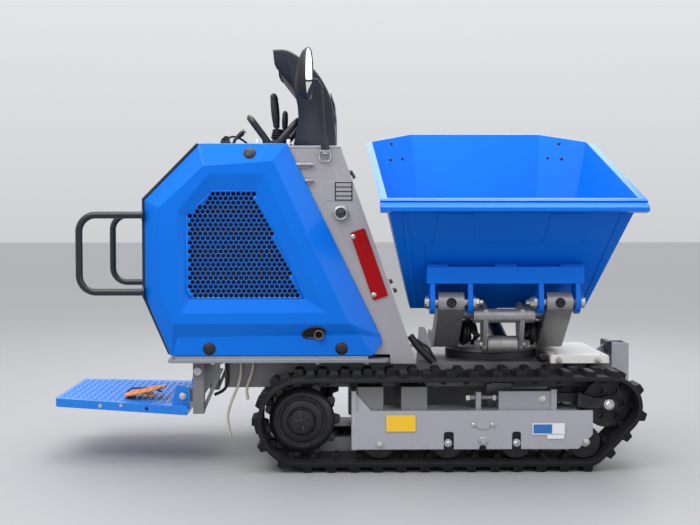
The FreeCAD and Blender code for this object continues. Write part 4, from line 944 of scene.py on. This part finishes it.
def make_mirror():
    """The round-backed mirror, turned a little outwards, with its glass and rim."""
    y_arm = side_y(RIGHT, 268)
    turn = Matrix.Translation((-0.131, y_arm, 1.2225)) @ Matrix.Rotation(math.radians(-12), 4, "Z")
    columns, rings = 40, 9
    shape = bmesh.new()
    rows = []
    for ring in range(rings + 1):
        share = ring / rings
        row = []
        for column in range(columns):
            angle = math.tau * column / columns
            across, up = math.cos(angle), math.sin(angle)
            squared = (abs(across) ** 2.6 + abs(up) ** 2.6) ** (-1 / 2.6)
            y, z = across * squared * 0.053 * share, up * squared * 0.0805 * share
            depth = (0.033 - 0.16 * z) * math.sqrt(max(0, 1 - share ** 2.6))
            row.append(shape.verts.new((-depth - 0.002, y, z)))
            if ring == 0:
                break
        rows.append(row)
    for column in range(columns):
        shape.faces.new((rows[0][0], rows[1][column], rows[1][(column + 1) % columns]))
    rim = [shape.verts.new(vert.co + Vector((0.006, 0, 0))) for vert in rows[-1]]
    lip = [shape.verts.new((vert.co.x, vert.co.y * 0.955, vert.co.z * 0.97)) for vert in rim]
    edge = [shape.verts.new(vert.co - Vector((0.0025, 0, 0))) for vert in lip]
    loops = rows[1:] + [rim, lip, edge]
    for inner, outer in zip(loops, loops[1:]):
        band(shape, inner, outer)
    lid = shape.faces.new(edge[::-1])       # closes the housing while its faces are turned outwards
    bmesh.ops.recalc_face_normals(shape, faces=shape.faces)
    glass = bmesh.new()
    glass.faces.new([glass.verts.new(vert.co + Vector((0.0006, 0, 0))) for vert in edge])
    shape.faces.remove(lid)
    for name, source, material, replaced in (("mirror_housing", shape, PANEL_BLACK, ("mirror_head",)),
                                             ("mirror_glass", glass, GLASS, ())):
        mesh = baked(source)
        mesh.transform(turn)
        add_piece(name, mesh, material, "mirror_glass_body", replaced=replaced, sharp=50)


make_visor()
make_tower_details()
make_mirror()


# ---------------------------------------------------------------- levers and other controls

def make_lever(node, body, foot, knee, top, grip_length, grip_radius):
    """A lever: a black shaft with a knee, and a waisted rubber grip with rings; sizes in millimetres."""
    offset = middle(node).y
    foot, knee, top = [Vector((x / 1000, offset, z / 1000)) for x, z in (foot, knee, top)]
    pipe(node + "_shaft", [foot, knee, top - (top - knee) * 0.2], 0.0052, BLACK_METAL, body, smooth=False,
        replaced=(node,))
    heading = (top - knee).normalized()
    profile = [(0, 0), (grip_radius * 0.72, 0), (grip_radius * 0.80, 4), (grip_radius * 0.74, 10)]
    steps = 9
    for step in range(steps):
        share = step / (steps - 1)
        waist = grip_radius * (0.82 + 0.16 * math.sin(math.pi * share) + 0.08 * share)
        profile.append((waist, 12 + share * (grip_length - 20)))
    profile += [(grip_radius * 0.94, grip_length - 4), (grip_radius * 0.72, grip_length + 4),
        (grip_radius * 0.35, grip_length + 8), (0, grip_length + 9)]
    grip = lathe_mesh(profile, 32)
    start = top - heading * grip_length / 1000
    ring = lathe_mesh([(grip_radius * 0.9, 0), (grip_radius * 1.02, 1.5), (grip_radius * 0.9, 3),
        (grip_radius * 0.7, 1.5), (grip_radius * 0.9, 0)], 32)
    parts = [(grip, spot(start, heading))]
    for i in range(4):
        parts.append((ring, spot(start + heading * (grip_length * 0.25 + 8 * i) / 1000, heading)))
    add_piece(node + "_grip_rubber", joined(parts), GRIP, body, sharp=45)


def bellows_mesh(height, wide, narrow, folds):
    """A rubber bellows boot that narrows upwards."""
    profile = [(narrow * 0.5, 0)]
    for fold in range(folds):
        share = fold / folds
        radius = wide + (narrow - wide) * share
        step = height / folds
        profile += [(radius * 0.82, step * fold), (radius, step * (fold + 0.35)),
            (radius, step * (fold + 0.6)), (radius * 0.80, step * (fold + 0.95))]
    profile += [(narrow * 0.8, height), (narrow * 0.5, height), (narrow * 0.5, 0)]
    return lathe_mesh(profile, 36)


def make_controls():
    """The four levers, their boots, and the black linkage and bolts round them."""
    drive_lever = ((-235, 1012), (-238, 1058), (-247, 1172), 100, 12.5)
    levers = (
        ("drive_lever_right", "drive_lever_right_body", *drive_lever),
        ("drive_lever_left", "drive_lever_left_body", *drive_lever),
        ("tip_lever", "tip_lever_body", (-219, 1012), (-218, 1055), (-216, 1130), 62, 10.5),
        ("throttle_lever", "throttle", (-378, 1013), (-374, 1028), (-350, 1050), 20, 9.5),
    )
    for node, body, foot, knee, top, length, radius in levers:
        make_lever(node, body, foot, knee, top, length, radius)
        if node == "throttle_lever":
            continue
        place = Vector((foot[0] / 1000, middle(node).y, 1.034))
        neck = lathe_mesh([(8, 0), (16.5, 0), (16.5, 22), (8, 22), (8, 0)], 32)
        boot = joined([(bellows_mesh(30, 22.5, 15, 4), spot(place)),
            (neck, spot(place - Vector((0, 0, 0.018))))])
        add_piece(node + "_bellows", boot, GRIP, body, sharp=50)
    refined("lever_boots", GRIP, 0.002, 3)
    base = flat_box(at(RIGHT, -418, 128, 1009.5), at(RIGHT, -388, 60, 1024))
    parts = [(base, HERE)]
    for x, z, size in ((-0.400, 1.030, 11), (-0.409, 1.026, 8)):
        knob = lathe_mesh([(0, 0), (size, 0), (size * 1.05, 10), (size * 0.8, 22), (0, 24)], 24)
        parts.append((knob, spot((x, side_y(RIGHT, 118), z), (0, 1, 0))))
    add_piece("throttle_linkage", joined(parts), PANEL_BLACK, "root", bevel=0.002)
    cable = [at(RIGHT, -404, 100, 1026), at(RIGHT, -390, 90, 1044), at(RIGHT, -350, 74, 1034),
        at(RIGHT, -330, 60, 1012)]
    pipe("throttle_cable", cable, 0.0035, HOSE, "root")
    posts = []
    for _, side in SIDES:
        posts += [(at(side, x, 152, 1008.5), (0, 0, 1)) for x in (-297, -197)]
    scatter("control_posts", lathe_mesh([(0, 0), (6.5, 0), (6.5, 16), (5, 19), (0, 19)], 24), posts, WHITE)
    raised = plate_mesh([(-0.312, side_y(RIGHT, 172)), (-0.199, side_y(RIGHT, 172)),
        (-0.199, side_y(LEFT, 172)), (-0.312, side_y(LEFT, 172))], 1.0085, 1.0105, "Z")
    add_piece("control_plate", raised, HOOD_BLUE, "root", bevel=0.0008)


make_controls()


# ---------------------------------------------------------------- skip, its bracket and the pins

def wall_place(v, z, lift):
    """A point on the skip's front wall from millimetres along and up, lifted off it by a little."""
    foot_out, foot_up, lean = 154, 483, 263 / 300
    out = foot_out + (z - foot_up) * lean + 0.752 * lift
    return (SLEW_X + v / 1000, MID_Y - out / 1000, (z - 0.659 * lift) / 1000)


def wall_sheet(outline, high=2.2):
    """A thin sheet on the skip's front wall."""
    points = [wall_place(v, z, lift) for lift in (-0.6, high) for v, z in outline]
    return mesh_of(points, prism_faces(len(outline)))


def skip_spot(v, u, z):
    """A point given across, out and up from the slew axis, in millimetres."""
    return (SLEW_X + v / 1000, MID_Y - u / 1000, z / 1000)


def make_skip_details():
    """Welded sheets, tabs and small bolts of the skip, and its pins' nuts."""
    doubler = [(-218, 791), (-225, 700), (-250, 695), (-240, 629), (248, 625), (259, 700), (229, 703),
        (231, 791), (119, 788), (111, 698), (-103, 700), (-113, 788)]
    add_piece("skip_doubler", wall_sheet(doubler), SKIP_BLUE, "skip", bevel=0.0008)
    for name, strip in (("left", [(-326, 789), (-312, 789), (-262, 486), (-274, 486)]),
                        ("right", [(330, 789), (344, 789), (283, 499), (271, 499)])):
        add_piece("skip_fold_" + name, wall_sheet(strip, 2.6), SKIP_BLUE, "skip", bevel=0.001)
    tabs = []
    for v0, v1 in ((-241, -176), (-32, 38), (173, 246)):
        low, high = skip_spot(v0, 309, 624.5), skip_spot(v1, 279, 631)
        tabs.append((flat_box(low, high), HERE))
    add_piece("bracket_tabs", joined(tabs), SKIP_BLUE, "skip", bevel=0.0012)
    bolts = []
    for v, u, z in ((-317, -352, 1047), (-322, -324, 987), (-276, -360, 992), (304, -361, 1048),
            (265, -370, 996), (309, -335, 991)):
        bolts.append((skip_spot(v, u, z), (-0.563 if v > 0 else 0.563, -0.77, 0.3)))
    scatter("skip_small_bolts", button_mesh(6.5, 4), bolts, BLACK_METAL, "skip")
    face = plate_mesh([(MID_Y - 0.326, 0.572), (MID_Y - 0.309, 0.572), (MID_Y - 0.309, 0.625),
        (MID_Y - 0.326, 0.625)], SLEW_X - 0.243, SLEW_X + 0.243, "X")
    add_piece("bracket_face", face, SKIP_BLUE, "skip", bevel=0.003, segments=3)
    nut = lathe_mesh([(0, 0), (18.5, 0), (18.5, 3), (15, 3.5), (15, 17), (12.5, 19.5), (8, 19.5), (8, 30),
        (6.5, 31.5), (0, 31.5)], 6)
    places = [(skip_spot(end * 98, PIN_OUT, PIN_UP), (-end, 0, 0)) for end in (-1, 1)]
    scatter("tip_pin_nuts", nut, places, ZINC, "turntable")
    cap = lathe_mesh([(0, 0), (16, 0), (16, 4), (14, 5.5), (0, 6)], 6)
    places = [(skip_spot(end * 244, PIN_OUT, PIN_UP), (end, 0, 0)) for end in (-1, 1)]
    scatter("tip_pin_heads", cap, places, ZINC, "turntable")
    plug = lathe_mesh([(0, 1.5), (4.5, 1.5), (5.5, 3.5), (10.5, 3.5), (11.2, 1.5), (13, 1.5), (14.5, 3),
        (15.5, 2), (15.5, -3), (0, -3)], 40)
    places = [(skip_spot(end * 168, 331.5, 514), (0, -1, 0)) for end in (-1, 1)]
    scatter("arm_head_plugs", plug, places, BLACK_METAL, "turntable")


def make_slew_details():
    """Hoses, two sleeves, the ram pin's nuts and the ring of bolts under the skip."""
    for end in (-1, 1):
        for step, (v, radius) in enumerate(((84, 0.0075), (116, 0.0085), (108, 0.0065))):
            reach = 8 * step
            points = [skip_spot(v * end, 106 + reach, 371), skip_spot((v + 6) * end, 128 + reach, 414),
                skip_spot((v + 2) * end, 170 + reach, 447), skip_spot((v - 6) * end, 208 + reach, 424),
                skip_spot((v - 10) * end, 196 + reach, 386), skip_spot((v - 4) * end, 150, 370)]
            pipe("slew_hose_%d_%d" % (end, step), points, radius, HOSE, "turntable")
    for name, body, reach, height, radius, half in (("cross_sleeve", "turntable", 284, 470, 22, 96),
                                                    ("ram_eye_sleeve", "ram", 250, 376, 27.5, 47)):
        length = 2 * half
        tube = lathe_mesh([(12, 0), (radius - 1, 0), (radius, 1), (radius, length - 1),
            (radius - 1, length), (12, length), (12, 0)], 48)
        add_piece(name, placed(tube, skip_spot(-half, reach, height), (1, 0, 0)), ARM_GREY, body)
    nut = lathe_mesh([(0, 0), (17, 0), (17, 3), (14.5, 3.5), (14.5, 14), (12, 16), (0, 16)], 6)
    scatter("ram_pin_nuts", nut, [(skip_spot(end * 71, 250, 376), (end, 0, 0)) for end in (-1, 1)], ZINC,
        "turntable")
    places = []
    for index in range(16):
        turn = math.tau * index / 16
        places.append(((SLEW_X + 0.122 * math.cos(turn), MID_Y + 0.122 * math.sin(turn), 0.3545),
            (0, 0, 1)))
    scatter("turntable_bolts", socket_bolt_mesh(6, 7), places, BLACK_METAL, "turntable")


make_skip_details()
make_slew_details()


# ---------------------------------------------------------------- track frames, deck and front

def make_frame_details(word, side):
    """Blank plates, cap bolts, the tensioner's screw and the axle nut of one track frame."""
    face = side_y(side, 358)
    lift = side * 0.0012
    for name, x0, x1, z0, z1, material, height in (
            ("yellow_plate", 0.108, 0.198, 0.121, 0.171, YELLOW, 1.0),
            ("white_plate", 0.557, 0.657, 0.110, 0.145, WHITE, 1.0),
            ("white_tab", 0.602, 0.655, 0.097, 0.112, WHITE, 1.0),
            ("blue_plate", 0.560, 0.618, 0.1135, 0.142, LABEL_BLUE, 1.4)):
        y0, y1 = sorted((face - lift * 0.3, face + lift * height))
        add_piece("%s_%s" % (name, word), flat_box((x0, y0, z0), (x1, y1, z1)), material, "root",
            bevel=0.0004)
    bolts = [((x, face, z), outward(side)) for x, z in ((0.088, 0.0817), (0.7245, 0.0867))]
    inner = [((x, side_y(side, 350), 0.083), outward(side)) for x in (0.300, 0.509)]
    scatter("frame_bolts_" + word, flat_bolt_mesh(7.2, 9), bolts + inner, ZINC)
    plug = lathe_mesh([(0, 0), (13.5, 0), (13.5, 2), (11, 3.5), (9.5, 3), (8.5, 6), (0, 6.5)], 36)
    scatter("frame_plug_" + word, plug, [((0.4057, face, 0.091), outward(side))], SILVER)
    cover = []
    for index in range(32):
        turn = math.tau * index / 32
        shift = 0.0085 if math.cos(turn) > 0 else -0.0085
        cover.append((0.4055 + shift + 0.014 * math.cos(turn), 0.1425 + 0.0145 * math.sin(turn)))
    low, high = sorted((face - lift * 0.3, face + lift * 1.3))
    add_piece("frame_cover_" + word, plate_mesh(cover, low, high), SILVER, "root",
        bevel=0.0008)
    pair = [((x, face, 0.1425), outward(side)) for x in (0.376, 0.435)]
    scatter("cover_bolts_" + word, flat_bolt_mesh(5, 6), pair, ZINC)
    centre = side_y(side, TRACK_OFFSET)
    head = lathe_mesh([(0, 0), (14.5, 0), (14.5, 12), (12.5, 14), (0, 14)], 6)
    collar = lathe_mesh([(9.2, 0), (15, 0), (15, 10), (13, 12), (9.2, 12)], 6)
    thread = [(9.2, 0)]
    for turn in range(18):
        thread += [(10.2, 1.2 + 2.4 * turn), (9.2, 2.4 + 2.4 * turn)]
    parts = []
    for x, mesh in ((0.358, head), (0.441, collar), (0.405, lathe_mesh(thread, 28))):
        parts.append((mesh, spot((x, centre, 0.217), (1, 0, 0))))
    add_piece("tension_bolt_" + word, joined(parts), ZINC, "root")
    housing = (at(side, 592, 326, 212), outward(side))
    scatter("housing_plug_" + word, button_mesh(12.5, 4), [housing], ZINC)
    low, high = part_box("tensioner_" + word)
    y_arm = low.y if side == RIGHT else high.y
    axle = middle("idler_" + word)
    nut = ((axle.x, y_arm - side * 0.001, axle.z), outward(side))
    scatter("idler_nut_" + word, flat_bolt_mesh(11.5, 12), [nut], ZINC, body="tensioner_%s_body" % word)


def make_deck_details():
    """The cover's knobs and screws, a near-black block painted as shade in the front post's open side,
    gusset and guard, and the strut and wires by the ring.
    """
    places = [(at(RIGHT, 783, 250, 326), (0, -1, 0)), (at(RIGHT, 660, 250, 326), (0, -1, 0))]
    scatter("cover_knobs", flat_bolt_mesh(7, 9), places, ZINC)
    corners = [(x, y) for x in (0.655, 0.800) for y in (side_y(RIGHT, 228), side_y(LEFT, 84))]
    scatter("cover_screws", button_mesh(7, 3.5), [((x, y, 0.3415), (0, 0, 1)) for x, y in corners], ZINC)
    _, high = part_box("front_post")
    # A near-black block beside the front post: painted shade standing for the inside of its open channel.
    pad = flat_box((high.x - 0.074, MID_Y - 0.046, 0.322), (high.x - 0.0575, MID_Y + 0.046, 0.362))
    add_piece("post_channel_shade", pad, PANEL_BLACK, "root", bevel=0.002)
    gusset = plate_mesh([(0.800, 0.306), (0.880, 0.306), (0.880, 0.352), (0.868, 0.352)], MID_Y - 0.004,
        MID_Y + 0.004)
    add_piece("post_gusset", gusset, SILVER, "root", bevel=0.001)
    guard = plate_mesh([(0.214, 0.315), (0.262, 0.315), (0.262, 0.372), (0.240, 0.424), (0.222, 0.424)],
        side_y(RIGHT, 176), side_y(RIGHT, 171))
    add_piece("slew_guard", guard, SILVER, "root", bevel=0.001)
    fitting = lathe_mesh([(0, 0), (17, 0), (17, 30), (13, 34), (13, 44), (9, 47), (0, 47)], 32)
    add_piece("grease_block", placed(fitting, at(RIGHT, 612, 196, 333), (0, -1, 0)), BLACK_METAL, "root",
        bevel=0.0008)
    strut = [at(RIGHT, 190, 226, 402), at(RIGHT, 215, 226, 366), at(RIGHT, 262, 224, 318)]
    pipe("slew_strut", strut, 0.0115, HOSE, "root", smooth=False)
    for index in range(2):
        y = side_y(RIGHT, 206 - 14 * index)
        wire = [(0.196, y, 0.398), (0.228, y, 0.372), (0.250, y, 0.362), (0.262, y, 0.340),
            (0.275, y, 0.318)]
        pipe("slew_wire_%d" % index, wire, 0.0042, HOSE, "root")
    under = []
    for x in (-0.43, -0.10, 0.05):
        under += [((x, side_y(side, 268), DECK_UNDER), (0, 0, -1)) for _, side in SIDES]
    scatter("deck_bolts", flat_bolt_mesh(9, 8), under, ZINC)


# ---------------------------------------------------------------- platform, pedal and bracket

def step_height(x):
    """The height of the sloping platform's top at a place along it."""
    return 0.185 + (0.203 - 0.185) * (STEP_FRONT - x) / (STEP_FRONT - STEP_REAR)


def step_half_width(x):
    """Half the width of the platform, which narrows to the rear, at a place along it."""
    return 0.213 + (0.276 - 0.213) * (x - STEP_REAR) / (STEP_FRONT - STEP_REAR)


def make_chequer():
    """Raised lozenges over the platform's top, turned to left and right by turns."""
    points, faces = [], []
    rows, columns = 18, 19
    for row in range(rows):
        for column in range(columns):
            x = -0.918 + 0.0215 * column
            y = MID_Y + 0.0245 * (row - (rows - 1) / 2)
            if abs(y - MID_Y) > step_half_width(x) - 0.018:
                continue
            turn = math.radians(45 if (row + column) % 2 else -45)
            heading = Vector((math.cos(turn), math.sin(turn)))
            across = Vector((-math.sin(turn), math.cos(turn)))
            start = len(points)
            for height, long, short in ((-0.0005, 0.0115, 0.0034), (0.0013, 0.0090, 0.0018)):
                for offset in (heading * long, across * short, heading * -long, across * -short):
                    flat = Vector((x, y)) + offset
                    points.append((flat.x, flat.y, step_height(flat.x) + height))
            faces.append([start + 4, start + 5, start + 6, start + 7])
            for i in range(4):
                j = (i + 1) % 4
                faces.append([start + i, start + j, start + 4 + j, start + 4 + i])
    add_piece("platform_chequer", mesh_of(points, faces), STEP_BLUE, "step")


def make_pedal():
    """The pressed treadle: a tilted pad with grip studs, a bent leg, its spring and its cable."""
    slope = 0.215
    tilt = Matrix.Translation(at(RIGHT, -668, 145, 213.5)) @ Matrix.Rotation(-math.atan(slope), 4, "Y")
    outline = []
    for index in range(40):
        turn = math.tau * index / 40
        across, along = math.cos(turn), math.sin(turn)
        squared = (abs(across) ** 4 + abs(along) ** 4) ** -0.25
        outline.append((0.060 * across * squared, 0.046 * along * squared))
    pad = plate_mesh(outline, 0.0, 0.0045, "Z")
    stud = lathe_mesh([(5.5, 4), (8.5, 4), (7, 6.8), (5.8, 6.8), (5.5, 4)], 20)
    parts = [(pad, tilt)]
    for x in (-0.036, -0.012, 0.012, 0.036):
        for y in (-0.026, 0.0, 0.026):
            parts.append((stud, tilt @ Matrix.Translation((x, y, 0))))
    leg = plate_mesh([(-0.676, 0.2125), (-0.664, 0.2145), (-0.640, 0.2085), (-0.622, 0.2095),
        (-0.622, 0.2062), (-0.640, 0.2045)], side_y(RIGHT, 178), side_y(RIGHT, 165))
    parts.append((leg, HERE))
    add_piece("pedal_treadle", joined(parts), ORANGE, "pedal_plate", bevel=0.0012)
    spring = []
    for step in range(60):
        turn = math.tau * step / 10
        spring.append((-0.700 + 0.0009 * step, side_y(RIGHT, 88) + 0.006 * math.cos(turn),
            0.2035 + 0.0055 * math.sin(turn)))
    pipe("pedal_spring", spring, 0.0012, BLACK_METAL, "step")
    cable = [at(RIGHT, -735, 78, 199), at(RIGHT, -722, 72, 214), at(RIGHT, -695, 68, 211),
        at(RIGHT, -660, 66, 215.5), at(RIGHT, -620, 66, 199)]
    pipe("pedal_cable", cable, 0.0028, HOSE, "step")


def make_platform_details():
    """Hinge bolts, a near-black disc painted as the shade of a hole, a screw and a stud on each side, and
    the bracket's hose and pulley.
    """
    hinges = [(at(side, -526, 266, 217), outward(side)) for _, side in SIDES]
    scatter("hinge_bolts", flat_bolt_mesh(7.8, 9), hinges, ZINC)
    for word, side in SIDES:
        normal = Vector((-0.146, side, 0)).normalized()
        # The hole is a near-black disc on the skirt's face: painted shade, not an opening.
        for name, x, drop, radius, material, slot in (("hole", -0.640, 0.014, 5.5, SHADE_FILL, "step_blue"),
                                                      ("screw", -0.790, 0.014, 6.2, ZINC, "pin_zinc"),
                                                      ("stud", -0.723, 0.009, 5.5, ZINC, "pin_zinc")):
            disc = lathe_mesh([(0, 0), (radius, 0), (radius, 0.6), (0, 0.6)], 24)
            place = (x, MID_Y + side * (step_half_width(x) + 0.0001), step_height(x) - drop)
            add_piece("skirt_%s_%s" % (name, word), placed(disc, place, normal), material, "step")
    drop = [at(RIGHT, -392, 214, 322), at(RIGHT, -388, 214, 285), at(RIGHT, -390, 212, 245),
        at(RIGHT, -405, 208, 222), at(RIGHT, -432, 204, 212)]
    pipe("bracket_hose", drop, 0.005, HOSE, "root")
    rollers = lathe_mesh([(0, 0), (12, 0), (14, 4), (11, 8), (14, 12), (12, 16), (0, 16)], 32)
    scatter("bracket_pulley", rollers, [(at(RIGHT, -478, 262, 296), (0, -1, 0))], SILVER)


for detail_word, detail_side in SIDES:
    make_frame_details(detail_word, detail_side)
make_deck_details()
make_chequer()
make_pedal()
make_platform_details()


# ---------------------------------------------------------------- studio

def make_studio():
    """A plain pale floor, a white surround and large soft lights."""
    shape = bmesh.new()
    bmesh.ops.create_grid(shape, x_segments=1, y_segments=1, size=30)
    mesh = baked(shape)
    floor = bpy.data.objects.new("floor", mesh)
    SCENE.collection.objects.link(floor)
    mesh.materials.append(finish("floor_white", (0.30, 0.30, 0.31), 0.5, mottle=0.01, grain=0.0))
    world = bpy.data.worlds.new("studio")
    world.use_nodes = True
    tree = world.node_tree
    place = tree.nodes.new("ShaderNodeTexCoord")
    split = tree.nodes.new("ShaderNodeSeparateXYZ")
    rise = tree.nodes.new("ShaderNodeMapRange")
    rise.inputs["From Min"].default_value = -0.1
    rise.inputs["From Max"].default_value = 0.9
    rise.inputs["To Min"].default_value = 0.58
    rise.inputs["To Max"].default_value = 1.35
    link_nodes(tree, [
        (place, "Generated", split, "Vector"),
        (split, "Z", rise, "Value"),
        (rise, "Result", tree.nodes["Background"], "Strength"),
    ])
    tree.nodes["Background"].inputs["Color"].default_value = (0.97, 0.98, 1.0, 1)
    SCENE.world = world
    lights = (
        ("key", (-1.8, -2.4, 3.6), (2.4, 1.8), 85),
        ("fill", (2.8, -2.6, 1.9), (2.0, 2.0), 18),
        ("top", (0.2, 0.4, 3.8), (3.2, 2.6), 110),
        ("back", (0.6, 3.2, 2.4), (2.6, 1.6), 30),
    )
    for name, place, (width, depth), power in lights:
        data = bpy.data.lights.new(name, "AREA")
        data.shape = "RECTANGLE"
        data.size, data.size_y = width, depth
        data.energy = power
        light = bpy.data.objects.new(name, data)
        SCENE.collection.objects.link(light)
        light.location = place
        aim = Vector((0, MID_Y, 0.6)) - Vector(place)
        light.rotation_euler = aim.to_track_quat("-Z", "Y").to_euler()
    SCENE.view_settings.view_transform = "Standard"


make_studio()
